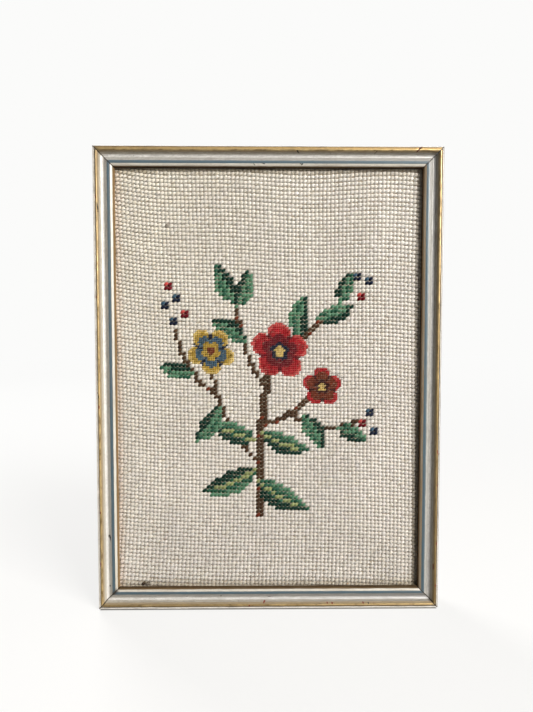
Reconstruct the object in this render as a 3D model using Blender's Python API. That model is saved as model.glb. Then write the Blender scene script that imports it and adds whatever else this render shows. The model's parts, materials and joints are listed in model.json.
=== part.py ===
"""A framed needlepoint: four mitred rails, the stitched canvas and its backing board.

Metres, +Z up. The picture faces -Y and the frame stands on its bottom rail. The origin
is under the middle of that rail, at half the frame's depth.
"""

import math

import bmesh
import bpy

# Frame, outside sizes
FRAME_WIDTH = 0.190
FRAME_HEIGHT = 0.255
FRAME_DEPTH = 0.018

# Clearance between two pieces that touch on the real thing
PIECE_GAP = 0.0003

# Moulding, across its face from the outer edge to the sight edge
GOLD_BEAD_WIDTH = 0.0023
COVE_START = 0.0026
COVE_FLOOR = 0.0057
COVE_END = 0.0070
FILLET_END = 0.0085
INNER_BEAD_START = 0.0087
INNER_BEAD_WIDTH = 0.0018
FACE_WIDTH = 0.0107

# Moulding, how far each step lies behind the crest of the gold bead
GROOVE_DROP = 0.0016
COVE_START_DROP = 0.0012
COVE_FLOOR_DROP = 0.0032
COVE_END_DROP = 0.0026
FILLET_DROP = 0.0024
FILLET_EDGE_DROP = 0.0026
INNER_BEAD_DROP = 0.0019
SIGHT_EDGE_DROP = 0.0030
LIP_DROP = 0.0051

# Rebate behind the lip, which the canvas and the board lie in
REBATE_INSET = 0.0050
CANVAS_THICKNESS = 0.0020
BOARD_THICKNESS = 0.0030
BOARD_EDGE_ROUNDING = 0.0003

# Steps along the round stretches of the moulding, and cells across and up the canvas
BEAD_STEPS = 8
COVE_STEPS = 5
CANVAS_CELLS_ACROSS = 24
CANVAS_CELLS_UP = 32

# Soft swells of the stretched canvas. Places and reaches are shares of the opening's
# half width and half height, from its middle. Heights are in metres, towards the viewer.
SWELL_COLUMNS = ("across", "up", "reach_across", "reach_up", "height")
SWELLS = (
    (-0.45, 0.62, 0.30, 0.34, 0.00045),
    (0.10, 0.68, 0.24, 0.40, 0.00065),
    (0.68, 0.60, 0.20, 0.46, 0.00055),
    (0.30, 0.08, 0.26, 0.30, 0.00050),
    (0.74, -0.20, 0.22, 0.36, 0.00040),
    (-0.62, -0.10, 0.26, 0.44, 0.00035),
    (-0.20, -0.60, 0.40, 0.26, 0.00055),
    (0.52, -0.72, 0.30, 0.22, 0.00040),
)
# The swells fade to nothing over this much of the sheet at each edge of the opening
SWELL_FADE = 0.012

MOULDING_PAINT = ((0.72, 0.68, 0.61, 1.0), 0.45, 0.15)
STITCHED_WOOL = ((0.66, 0.59, 0.49, 1.0), 0.95, 0.0)
GREY_BOARD = ((0.30, 0.24, 0.17, 1.0), 0.85, 0.0)


def clear_scene():
    """Remove what the new file starts with."""
    for existing in list(bpy.data.objects):
        bpy.data.objects.remove(existing, do_unlink=True)


def make_material(name, finish):
    """A plain Principled material from a colour, a roughness and a metallic value."""
    colour, roughness, metallic = finish
    material = bpy.data.materials.new(name)
    material.use_nodes = True
    shader = material.node_tree.nodes["Principled BSDF"]
    shader.inputs["Base Color"].default_value = colour
    shader.inputs["Roughness"].default_value = roughness
    shader.inputs["Metallic"].default_value = metallic
    return material


def add_object(name, mesh, material):
    """Link a mesh into the scene as one named object."""
    if not mesh.materials:
        mesh.materials.append(material)
    piece = bpy.data.objects.new(name, mesh)
    bpy.context.scene.collection.objects.link(piece)
    return piece


def bead_points(start, width, crest_drop):
    """A half-round bead across the moulding, from its outer foot to its inner foot."""
    radius = width / 2.0
    points = []
    for step in range(BEAD_STEPS + 1):
        angle = math.pi * step / BEAD_STEPS
        inwards = start + radius - radius * math.cos(angle)
        points.append((inwards, crest_drop + radius - radius * math.sin(angle)))
    return points


def cove_points():
    """The hollow between the gold bead and the fillet: a steep fall, then a short rise."""
    points = []
    for step in range(COVE_STEPS + 1):
        turn = math.pi / 2.0 * step / COVE_STEPS
        inwards = COVE_START + (COVE_FLOOR - COVE_START) * (1.0 - math.cos(turn))
        drop = COVE_START_DROP + (COVE_FLOOR_DROP - COVE_START_DROP) * math.sin(turn)
        points.append((inwards, drop))
    for step in range(1, COVE_STEPS + 1):
        turn = math.pi / 2.0 * step / COVE_STEPS
        inwards = COVE_FLOOR + (COVE_END - COVE_FLOOR) * math.sin(turn)
        drop = COVE_FLOOR_DROP - (COVE_FLOOR_DROP - COVE_END_DROP) * (1.0 - math.cos(turn))
        points.append((inwards, drop))
    return points


def moulding_profile():
    """The rail's cross-section as (inwards from the outer edge, behind the crest) points.

    The order runs up the outer side, across the face to the sight edge, under the lip
    and down the rebate to the back.
    """
    fillet_middle = (COVE_END + FILLET_END) / 2.0
    points = [(0.0, FRAME_DEPTH)]
    points += bead_points(0.0, GOLD_BEAD_WIDTH, 0.0)
    points.append(((GOLD_BEAD_WIDTH + COVE_START) / 2.0, GROOVE_DROP))
    points += cove_points()
    points.append((fillet_middle, FILLET_DROP))
    points.append((FILLET_END, FILLET_EDGE_DROP))
    points += bead_points(INNER_BEAD_START, INNER_BEAD_WIDTH, INNER_BEAD_DROP)
    points.append((FACE_WIDTH, SIGHT_EDGE_DROP))
    points.append((FACE_WIDTH, LIP_DROP))
    points.append((REBATE_INSET, LIP_DROP))
    points.append((REBATE_INSET, FRAME_DEPTH))
    return points


def rail_mesh(name, length):
    """A rail lying along X on its outer edge, face towards -Y, with mitred ends."""
    mitre_clearance = PIECE_GAP / math.sqrt(2.0)
    profile = moulding_profile()
    builder = bmesh.new()
    ends = []
    for side in (-1.0, 1.0):
        loop = []
        for inwards, drop in profile:
            along = side * (length / 2.0 - inwards - mitre_clearance)
            loop.append(builder.verts.new((along, drop - FRAME_DEPTH / 2.0, inwards)))
        ends.append(loop)
    left_end, right_end = ends
    count = len(profile)
    for index in range(count):
        following = (index + 1) % count
        side_face = (left_end[index], right_end[index], right_end[following], left_end[following])
        builder.faces.new(side_face)
    builder.faces.new(left_end)
    builder.faces.new(right_end)
    bmesh.ops.recalc_face_normals(builder, faces=builder.faces[:])
    mesh = bpy.data.meshes.new(name)
    builder.to_mesh(mesh)
    builder.free()
    mesh.shade_smooth()
    mesh.set_sharp_from_angle(angle=math.radians(35.0))
    return mesh


def make_rails(material):
    """The four rails, each standing on its own outer edge of the frame."""
    across = rail_mesh("rail_across", FRAME_WIDTH)
    upright = rail_mesh("rail_upright", FRAME_HEIGHT)
    middle = FRAME_HEIGHT / 2.0
    quarter_turn = math.pi / 2.0
    places = (
        ("rail_bottom", across, (0.0, 0.0, 0.0), 0.0),
        ("rail_top", across, (0.0, 0.0, FRAME_HEIGHT), 2.0 * quarter_turn),
        ("rail_left", upright, (-FRAME_WIDTH / 2.0, 0.0, middle), quarter_turn),
        ("rail_right", upright, (FRAME_WIDTH / 2.0, 0.0, middle), -quarter_turn),
    )
    for name, mesh, location, turn in places:
        rail = add_object(name, mesh, material)
        rail.location = location
        rail.rotation_euler = (0.0, turn, 0.0)


def fade_towards_edge(distance_inside):
    """Nought at the edge of the opening and one from SWELL_FADE inside it, smoothly."""
    share = min(max(distance_inside / SWELL_FADE, 0.0), 1.0)
    return share * share * (3.0 - 2.0 * share)


def swell_height(across, up):
    """How far the canvas stands towards the viewer at a place measured from its middle."""
    half_width = FRAME_WIDTH / 2.0 - FACE_WIDTH
    half_height = FRAME_HEIGHT / 2.0 - FACE_WIDTH
    fade = fade_towards_edge(half_width - abs(across))
    fade *= fade_towards_edge(half_height - abs(up))
    total = 0.0
    for row in SWELLS:
        swell = dict(zip(SWELL_COLUMNS, row))
        sideways = (across / half_width - swell["across"]) / swell["reach_across"]
        upwards = (up / half_height - swell["up"]) / swell["reach_up"]
        total += swell["height"] * math.exp(-sideways * sideways - upwards * upwards)
    return total * fade


def make_canvas(material):
    """The stitched canvas, stretched flat in the rebate with a few soft swells."""
    width = FRAME_WIDTH - 2.0 * (REBATE_INSET + PIECE_GAP)
    height = FRAME_HEIGHT - 2.0 * (REBATE_INSET + PIECE_GAP)
    front = LIP_DROP + PIECE_GAP - FRAME_DEPTH / 2.0
    builder = bmesh.new()
    bmesh.ops.create_grid(
        builder, x_segments=CANVAS_CELLS_ACROSS, y_segments=CANVAS_CELLS_UP, size=0.5
    )
    for vertex in builder.verts:
        across = vertex.co.x * width
        up = vertex.co.y * height
        vertex.co = (across, front - swell_height(across, up), up)
    mesh = bpy.data.meshes.new("stitched_canvas")
    builder.to_mesh(mesh)
    builder.free()
    mesh.shade_smooth()
    canvas = add_object("stitched_canvas", mesh, material)
    canvas.location = (0.0, 0.0, FRAME_HEIGHT / 2.0)
    thickness = canvas.modifiers.new("thickness", "SOLIDIFY")
    thickness.thickness = CANVAS_THICKNESS
    thickness.offset = -1.0


def make_board(material):
    """The plain board that carries the canvas from behind."""
    width = FRAME_WIDTH - 2.0 * (REBATE_INSET + PIECE_GAP)
    height = FRAME_HEIGHT - 2.0 * (REBATE_INSET + PIECE_GAP)
    front = LIP_DROP + 2.0 * PIECE_GAP + CANVAS_THICKNESS - FRAME_DEPTH / 2.0
    builder = bmesh.new()
    bmesh.ops.create_cube(builder, size=1.0)
    bmesh.ops.scale(builder, vec=(width, BOARD_THICKNESS, height), verts=builder.verts[:])
    mesh = bpy.data.meshes.new("backing_board")
    builder.to_mesh(mesh)
    builder.free()
    board = add_object("backing_board", mesh, material)
    board.location = (0.0, front + BOARD_THICKNESS / 2.0, FRAME_HEIGHT / 2.0)
    rounding = board.modifiers.new("edge_rounding", "BEVEL")
    rounding.width = BOARD_EDGE_ROUNDING
    rounding.segments = 1


def main():
    """Build the frame, then what lies in its rebate."""
    clear_scene()
    make_rails(make_material("moulding_paint", MOULDING_PAINT))
    make_canvas(make_material("stitched_wool", STITCHED_WOOL))
    make_board(make_material("grey_board", GREY_BOARD))


main()
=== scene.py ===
"""A framed needlepoint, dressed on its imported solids.

Four mitred lengths of painted moulding hold a canvas worked in wool: a cream ground of
slanting stitches with a flower spray, whose blossoms are in stitches of half the size.
A plain board carries the canvas from behind.

Metres, +Z up. The picture faces -Y, and the frame stands on its bottom rail.
"""

import json
import logging
import math
from dataclasses import dataclass, field
from enum import Enum
from functools import cache
from typing import Any, Iterable, Optional

import bmesh
import bpy
import numpy as np
from bpy.types import ID, Material, Mesh, Node, NodeOutputs, NodeTree, Object
from bpy.types import NodeSocket as Socket
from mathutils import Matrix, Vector, noise
from mathutils.bvhtree import BVHTree

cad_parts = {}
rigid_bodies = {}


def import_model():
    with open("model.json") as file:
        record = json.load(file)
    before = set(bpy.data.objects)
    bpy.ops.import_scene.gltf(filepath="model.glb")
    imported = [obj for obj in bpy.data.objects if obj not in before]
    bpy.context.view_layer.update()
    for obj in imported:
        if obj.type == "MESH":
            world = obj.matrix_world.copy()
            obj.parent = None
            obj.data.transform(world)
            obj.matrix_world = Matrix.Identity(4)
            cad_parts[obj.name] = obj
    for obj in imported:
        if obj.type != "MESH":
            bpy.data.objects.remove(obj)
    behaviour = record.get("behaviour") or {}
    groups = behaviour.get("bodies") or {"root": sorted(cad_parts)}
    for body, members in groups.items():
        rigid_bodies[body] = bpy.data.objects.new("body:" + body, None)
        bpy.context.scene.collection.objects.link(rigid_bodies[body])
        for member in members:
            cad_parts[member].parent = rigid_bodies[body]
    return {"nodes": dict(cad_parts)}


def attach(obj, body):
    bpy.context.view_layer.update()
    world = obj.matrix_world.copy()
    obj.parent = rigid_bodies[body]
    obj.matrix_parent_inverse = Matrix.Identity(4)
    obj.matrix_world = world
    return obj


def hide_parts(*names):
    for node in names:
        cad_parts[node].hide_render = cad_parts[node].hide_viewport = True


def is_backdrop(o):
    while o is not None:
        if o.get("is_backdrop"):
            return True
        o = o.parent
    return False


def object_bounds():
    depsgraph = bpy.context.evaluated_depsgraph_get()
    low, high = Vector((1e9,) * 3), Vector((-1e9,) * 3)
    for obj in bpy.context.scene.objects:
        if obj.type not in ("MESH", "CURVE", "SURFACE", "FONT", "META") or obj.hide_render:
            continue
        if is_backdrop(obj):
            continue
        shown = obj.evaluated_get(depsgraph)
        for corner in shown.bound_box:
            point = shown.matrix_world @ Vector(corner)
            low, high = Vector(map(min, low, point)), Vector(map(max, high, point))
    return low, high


LOG = logging.getLogger("framed_needlepoint")

MM = 0.001
HAIR = 0.01 * MM

Colour = tuple[float, float, float, float]
Cell = tuple[float, float]
Pair = tuple[float, float]
Triple = tuple[float, float, float]
Array = np.ndarray


def linear(red: int, green: int, blue: int) -> Colour:
    """Turn a screen colour into the linear colour that shaders use.

    Args:
        red: Red from 0 to 255.
        green: Green from 0 to 255.
        blue: Blue from 0 to 255.

    Returns:
        The linear colour, opaque.
    """
    channels = []
    for value in (red, green, blue):
        share = value / 255.0
        low = share / 12.92
        high = ((share + 0.055) / 1.055) ** 2.4
        channels.append(low if share <= 0.04045 else high)
    return (channels[0], channels[1], channels[2], 1.0)


def smooth_step(low: float, high: float, value: Array) -> Array:
    """Rise smoothly from nought at low to one at high."""
    share = np.clip((value - low) / (high - low), 0.0, 1.0)
    return share * share * (3.0 - 2.0 * share)


def noise_at(x: Any, y: Any, z: Any) -> Array:
    """Read smooth noise at many places.

    Args:
        x: First coordinates, in cells of the noise.
        y: Second coordinates.
        z: Third coordinates.

    Returns:
        The noise, in the shape that the coordinates make together.
    """
    axes = np.broadcast_arrays(x, y, z)
    places = zip(*(axis.ravel().tolist() for axis in axes))
    return np.array([noise.noise(Vector(place)) for place in places]).reshape(axes[0].shape)


def linked(name: str, data: Optional[ID]) -> Object:
    """Put a mesh, a lamp or a camera into the scene as a named object.

    Args:
        name: The object's name.
        data: What it shows.

    Returns:
        The object.
    """
    thing = bpy.data.objects.new(name, data)
    bpy.context.scene.collection.objects.link(thing)
    return thing


def evaluated_copy(source: Object, name: str) -> Object:
    """Turn an object with modifiers into a plain mesh object, and remove the first.

    Args:
        source: The object with live modifiers.
        name: The name of the plain object.

    Returns:
        The plain object, at the origin.
    """
    graph = bpy.context.evaluated_depsgraph_get()
    graph.update()
    mesh = bpy.data.meshes.new_from_object(source.evaluated_get(graph), depsgraph=graph)
    bpy.data.objects.remove(source, do_unlink=True)
    mesh.name = name
    return linked(name, mesh)


class Wiring:
    """A short way to add nodes to one tree and to join them."""

    def __init__(self, tree: NodeTree) -> None:
        """Keep the tree that the nodes go to."""
        self.tree = tree

    def feed(self, node: Node, inputs: dict) -> None:
        """Join sockets to a node's inputs, or set the inputs' own values.

        Args:
            node: The node.
            inputs: Sockets or plain values by the input's name or number.
        """
        for key, value in inputs.items():
            if isinstance(value, Socket):
                self.tree.links.new(value, node.inputs[key])
            else:
                node.inputs[key].default_value = value

    def add(self, kind: str, inputs: Optional[dict] = None, **settings: Any) -> Node:
        """Add a node.

        Args:
            kind: The node's type name.
            inputs: Sockets or plain values by the input's name or number.
            settings: The node's own properties.

        Returns:
            The new node.
        """
        node = self.tree.nodes.new(kind)
        for name, value in settings.items():
            setattr(node, name, value)
        self.feed(node, inputs or {})
        return node

    def maths(self, operation: str, *values: Any, clamp: bool = False) -> Socket:
        """Add one sum of sockets or numbers, kept from nought to one if it is clamped."""
        terms = dict(enumerate(values))
        return self.add("ShaderNodeMath", terms, operation=operation, use_clamp=clamp).outputs[0]

    def times(self, first: Any, second: Any, clamp: bool = False) -> Socket:
        """Multiply two values."""
        return self.maths("MULTIPLY", first, second, clamp=clamp)

    def rest_of(self, share: Any, clamp: bool = False) -> Socket:
        """What a share leaves of one."""
        return self.maths("SUBTRACT", 1.0, share, clamp=clamp)

    def greater(self, first: Any, second: Any) -> Socket:
        """The greater of two values."""
        return self.maths("MAXIMUM", first, second)

    def rise(self, value: Any, low: float, high: float, most: float = 1.0) -> Socket:
        """Map a value to a smooth rise, or to a fall where low is the higher.

        Args:
            value: The socket that is mapped.
            low: Where the rise begins.
            high: Where it ends.
            most: What it rises to.

        Returns:
            The share's socket.
        """
        inputs = {"Value": value, "From Min": low, "From Max": high}
        share = self.add("ShaderNodeMapRange", inputs, interpolation_type="SMOOTHSTEP").outputs[0]
        return share if most == 1.0 else self.times(share, most)

    def blend(self, share: Any, first: Any, second: Any, how: str = "MIX") -> Socket:
        """Two colours mixed by the share of the second."""
        inputs = {"Factor": share, 6: first, 7: second}
        return self.add("ShaderNodeMix", inputs, data_type="RGBA", blend_type=how).outputs[2]

    def parts(self, vector: Any) -> NodeOutputs:
        """A vector's three numbers."""
        return self.add("ShaderNodeSeparateXYZ", {0: vector}).outputs

    def scaled(self, vector: Any, scale: Any) -> Socket:
        """A vector stretched along each axis."""
        return self.add("ShaderNodeVectorMath", {0: vector, 1: scale}, operation="MULTIPLY").outputs[0]

    def attribute(self, name: str, output: str = "Fac") -> Socket:
        """One of the mesh's own attributes."""
        return self.add("ShaderNodeAttribute", attribute_name=name).outputs[output]

    def cloud(self, place: Any, stretch: Triple, detail: float) -> Socket:
        """Soft noise, with so many cells to the metre along each axis."""
        inputs = {"Vector": self.scaled(place, stretch), "Scale": 1.0, "Detail": detail}
        return self.add("ShaderNodeTexNoise", inputs).outputs["Fac"]

    def relief(self, shader: Node, height: Any, strength: float, distance: float) -> None:
        """Raise a shader's surface. A height of one stands up by the distance."""
        bump = self.add("ShaderNodeBump", {"Strength": strength, "Distance": distance, "Height": height})
        self.feed(shader, {"Normal": bump.outputs["Normal"]})

    def grain(self, place: Any, stretch: Triple, detail: float = 3.0) -> NodeOutputs:
        """Fine grain drawn along one way, as a Tone and a Height."""
        inputs = {"Vector": place, "Stretch": stretch, "Detail": detail}
        return self.add("ShaderNodeGroup", inputs, node_tree=drawn_grain()).outputs

    def dusted(self, colour: Any, place: Any, scale: float, amount: float) -> Socket:
        """A colour greyed by settled dust, in so many patches to the metre."""
        inputs = {"Colour": colour, "Vector": place, "Scale": scale, "Amount": amount}
        return self.add("ShaderNodeGroup", inputs, node_tree=settled_dust()).outputs["Colour"]


def shader_group(name: str, takes: Iterable[tuple], gives: Iterable[tuple]) -> tuple:
    """Make an empty shader group with its sockets.

    Args:
        name: The group's name.
        takes: Name, socket type and default of each input.
        gives: Name and socket type of each output.

    Returns:
        The group's wires, the sockets of its inputs and the node of its outputs.
    """
    tree = bpy.data.node_groups.new(name, "ShaderNodeTree")
    for label, kind, default in takes:
        tree.interface.new_socket(label, in_out="INPUT", socket_type=kind).default_value = default
    for label, kind in gives:
        tree.interface.new_socket(label, in_out="OUTPUT", socket_type=kind)
    wires = Wiring(tree)
    return wires, wires.add("NodeGroupInput").outputs, wires.add("NodeGroupOutput")


@cache
def drawn_grain() -> NodeTree:
    """Build once the streaks drawn along one way, as of a brush, a scraper or fibres.

    Returns:
        The group's tree, with a tone and a height from nought to one.
    """
    takes = (
        ("Vector", "NodeSocketVector", (0.0, 0.0, 0.0)),
        ("Stretch", "NodeSocketVector", (1.0, 1.0, 1.0)),
        ("Detail", "NodeSocketFloat", 3.0),
    )
    gives = (("Tone", "NodeSocketFloat"), ("Height", "NodeSocketFloat"))
    wires, taken, given = shader_group("drawn_grain", takes, gives)
    streak = wires.add("ShaderNodeTexNoise", {"Scale": 1.0, "Detail": taken["Detail"]})
    wires.feed(streak, {"Vector": wires.scaled(taken["Vector"], taken["Stretch"])})
    height = streak.outputs["Fac"]
    wires.feed(given, {"Tone": wires.rise(height, 0.3, 0.7), "Height": height})
    return wires.tree


@cache
def settled_dust() -> NodeTree:
    """Build once the greying of a colour where dust and handling have settled.

    Returns:
        The group's tree, with the greyed colour.
    """
    takes = (
        ("Colour", "NodeSocketColor", (0.8, 0.8, 0.8, 1.0)),
        ("Dust", "NodeSocketColor", linear(120, 108, 92)),
        ("Vector", "NodeSocketVector", (0.0, 0.0, 0.0)),
        ("Scale", "NodeSocketFloat", 60.0),
        ("Amount", "NodeSocketFloat", 0.3),
    )
    wires, taken, given = shader_group("settled_dust", takes, [("Colour", "NodeSocketColor")])
    cloud = wires.add("ShaderNodeTexNoise", {"Detail": 4.0, "Roughness": 0.6})
    wires.feed(cloud, {"Vector": taken["Vector"], "Scale": taken["Scale"]})
    patch = wires.rise(cloud.outputs["Fac"], 0.35, 0.75)
    share = wires.times(patch, taken["Amount"], clamp=True)
    wires.feed(given, {"Colour": wires.blend(share, taken["Colour"], taken["Dust"])})
    return wires.tree


def new_material(name: str) -> tuple[Material, Wiring, Node]:
    """Start a material.

    Args:
        name: The material's name.

    Returns:
        The material, its wires and its Principled shader.
    """
    material = bpy.data.materials.new(name)
    material.use_nodes = True
    shader = material.node_tree.nodes["Principled BSDF"]
    return material, Wiring(material.node_tree), shader


class Side(Enum):
    """The four rails: how far each is turned about Y from the bottom one, in quarter turns."""

    BOTTOM = 0
    LEFT = 1
    TOP = 2
    RIGHT = -1

    @property
    def node(self) -> str:
        """The name of the rail's solid."""
        return f"rail_{self.name.lower()}"

    @property
    def upright(self) -> bool:
        """Whether the rail stands upright."""
        return self in (Side.LEFT, Side.RIGHT)

    @property
    def turn(self) -> float:
        """The rail's turn in radians."""
        return self.value * math.pi / 2.0


@dataclass(frozen=True)
class OuterSize:
    """The frame's outside sizes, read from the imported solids."""

    width: float
    height: float
    depth: float

    @property
    def middle(self) -> float:
        """How high the middle of the frame is."""
        return self.height / 2.0

    def corner(self, side: Side) -> Pair:
        """Say where the middle of a rail's outer edge is.

        Args:
            side: Which rail.

        Returns:
            Across and up.
        """
        places = {
            Side.BOTTOM: (0.0, 0.0),
            Side.TOP: (0.0, self.height),
            Side.LEFT: (-self.width / 2.0, self.middle),
            Side.RIGHT: (self.width / 2.0, self.middle),
        }
        return places[side]

    def length(self, side: Side) -> float:
        """The rail's length over its mitres."""
        return self.height if side.upright else self.width


@dataclass(frozen=True)
class Profile:
    """The moulding's cross-section. Inwards is from the outer edge, drops are from the crest."""

    depth: float
    strip_width: float = 0.95 * MM
    strip_drop: float = 0.35 * MM
    strip_flat: float = 0.68 * MM
    strip_groove: float = 0.9 * MM
    strip_groove_drop: float = 0.55 * MM
    gold_bead_width: float = 1.6 * MM
    groove_drop: float = 1.35 * MM
    cove_start: float = 2.75 * MM
    cove_start_drop: float = 1.2 * MM
    cove_floor: float = 4.9 * MM
    cove_floor_drop: float = 3.5 * MM
    cove_end: float = 7.0 * MM
    cove_end_drop: float = 2.5 * MM
    rise_curve: float = 1.25
    fillet_drop: float = 2.4 * MM
    fillet_end: float = 8.5 * MM
    fillet_edge_drop: float = 2.6 * MM
    inner_bead_start: float = 8.7 * MM
    inner_bead_width: float = 1.25 * MM
    inner_bead_drop: float = 2.25 * MM
    inner_bead_fall: float = 0.5 * MM
    inner_bead_lean: float = 0.4 * MM
    inner_bead_turn: float = math.pi / 2.2
    sight_start: float = 9.93 * MM
    slope_inset: float = 0.06 * MM
    slope_drop: float = 4.0 * MM
    face_width: float = 10.7 * MM
    lip_drop: float = 5.1 * MM
    rebate_inset: float = 5.0 * MM
    bead_steps: int = 22
    cove_steps: int = 14
    fillet_steps: int = 8
    corner_softness: float = 0.18 * MM
    corner_room: float = 0.45
    corner_steps: tuple[float, ...] = (0.0, 0.33, 0.67, 1.0)
    sharp_turn: float = math.radians(50.0)

    def _gold_bead(self) -> list[Pair]:
        """The half-round gold bead, whose outer foot lies under the pale strip's groove.

        Returns:
            Points of inwards and drop.
        """
        radius = self.gold_bead_width / 2.0
        points = []
        for angle in np.linspace(0.0, math.pi, self.bead_steps + 1):
            inwards = self.strip_width + radius * (1.0 - math.cos(angle))
            points.append((inwards, radius * (1.0 - math.sin(angle))))
        crest = self.strip_width + radius
        return [point for point in points if point[0] > crest or point[1] < self.strip_groove_drop]

    def _cove(self) -> list[Pair]:
        """The hollow: a steep fall from the gold bead, then a short rise to the fillet.

        Returns:
            Points of inwards and drop.
        """
        points = []
        for turn in np.linspace(0.0, math.pi / 2.0, self.cove_steps + 1):
            inwards = self.cove_start + (self.cove_floor - self.cove_start) * (1.0 - math.cos(turn))
            fall = self.cove_floor_drop - self.cove_start_drop
            points.append((inwards, self.cove_start_drop + fall * math.sin(turn)))
        for share in np.linspace(0.0, 1.0, self.cove_steps + 1)[1:]:
            inwards = self.cove_floor + (self.cove_end - self.cove_floor) * share
            climb = self.cove_floor_drop - self.cove_end_drop
            points.append((inwards, self.cove_floor_drop - climb * share ** self.rise_curve))
        return points

    def _fillet(self) -> list[Pair]:
        """The nearly flat line between the cove and the inner bead, a little crowned.

        Returns:
            Points of inwards and drop.
        """
        points = []
        for share in np.linspace(0.0, 1.0, self.fillet_steps + 1)[1:]:
            inwards = self.cove_end + (self.fillet_end - self.cove_end) * share
            crown = (self.fillet_edge_drop - self.fillet_drop) * 4.0 * share * (1.0 - share)
            points.append((inwards, self.fillet_edge_drop - crown))
        return points

    def _inner_bead(self) -> list[Pair]:
        """The quarter-round that falls from the fillet towards the sight edge.

        Returns:
            Points of inwards and drop.
        """
        points = []
        for turn in np.linspace(0.0, self.inner_bead_turn, self.bead_steps + 1):
            inwards = self.inner_bead_start + self.inner_bead_width * math.sin(turn)
            fall = self.inner_bead_fall * (1.0 - math.cos(turn)) + self.inner_bead_lean * math.sin(turn)
            points.append((inwards, self.inner_bead_drop + fall))
        return points

    def _soften(self, points: list[Pair]) -> list[Pair]:
        """Round each hard corner of the section a little, as sanding and paint do.

        Args:
            points: The section's points, with its hard corners.

        Returns:
            The points, with an arc in each corner's place.
        """
        softened = []
        count = len(points)
        for index in range(count):
            here = Vector(points[index])
            before = Vector(points[index - 1]) - here
            after = Vector(points[(index + 1) % count]) - here
            if math.pi - before.angle(after) < self.sharp_turn:
                softened.append(tuple(here))
                continue
            room = min(before.length * self.corner_room, after.length * self.corner_room)
            reach = min(self.corner_softness, room)
            first = here + before.normalized() * reach
            last = here + after.normalized() * reach
            for share in self.corner_steps:
                near = first.lerp(here, share)
                softened.append(tuple(near.lerp(here.lerp(last, share), share)))
        return softened

    def outline(self) -> Array:
        """Work out the section's points.

        Returns:
            Rows of inwards and drop, from the outer back corner round to the rebate.
        """
        bead_end = self.strip_width + self.gold_bead_width
        points = [(0.0, self.depth), (0.0, self.strip_drop), (self.strip_flat, self.strip_drop)]
        points.append((self.strip_groove, self.strip_groove_drop))
        points += self._gold_bead()
        points.append(((bead_end + self.cove_start) / 2.0, self.groove_drop))
        points += self._cove() + self._fillet() + self._inner_bead()
        points.append((self.face_width - self.slope_inset, self.slope_drop))
        points.append((self.face_width, self.lip_drop))
        points.append((self.rebate_inset, self.lip_drop))
        points.append((self.rebate_inset, self.depth))
        return np.array(self._soften(points))

    def run(self) -> Array:
        """The distance round the section at each point of the outline."""
        steps = np.linalg.norm(np.diff(self.outline(), axis=0), axis=1)
        return np.concatenate(([0.0], np.cumsum(steps)))

    def run_at(self, inwards: float) -> float:
        """Say how far round the section a place on the face is.

        Args:
            inwards: The place, from the outer edge.

        Returns:
            The distance round the section from its first point.
        """
        outline = self.outline()
        face = (outline[:, 1] < self.lip_drop) & (outline[:, 0] > 0.0)
        return float(np.interp(inwards, outline[face, 0], self.run()[face]))


@dataclass(frozen=True)
class SoftBand:
    """A stretch across the moulding with soft ends, in millimetres from its outer edge."""

    begins: float
    full: float
    fading: float
    ends: float

    def share(self, inwards: Array) -> Array:
        """How far each place lies in the band, from nought to one."""
        rise = smooth_step(self.begins * MM, self.full * MM, inwards)
        return rise * smooth_step(self.ends * MM, self.fading * MM, inwards)


class Wear(Enum):
    """What has happened at a mark on the paint."""

    BOLE = "bole"
    PIT = "pit"


@dataclass(frozen=True)
class Mark:
    """One mark on a rail: where it is, how large, how it is turned and how deep."""

    side: Side
    across: float
    up: float
    half_length: float
    half_width: float
    turn: float
    wear: Wear
    deep: float


@dataclass(frozen=True)
class RailWear:
    """How one rail differs from the others in its wear, its painted lines, and its painted light and shade.

    Gold is dull at the rail's two ends, along, and below nought it is clean. Silver is darkened there as
    painted shade, and below nought its streaks are left out as painted light.
    Strays say how far a line is painted off its place, round the section.
    """

    dull_gold: Pair
    silver_light_and_shade: Pair
    polish_and_highlight: float = 0.0
    tan_wear_and_side_light: float = 0.0
    sight_painted_light: float = 0.0
    wall_painted_light: float = 0.0
    line_stray: float = 0.0
    sight_stray: float = 0.0
    foot_stray: float = 0.0
    edge_shadow_stray: float = 0.0


@dataclass(frozen=True)
class PaintBand:
    """One painted band across the moulding, up to where it ends round the section."""

    ends_at: float
    colour: Colour
    roughness: float
    leaf: float
    streaks: float


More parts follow.
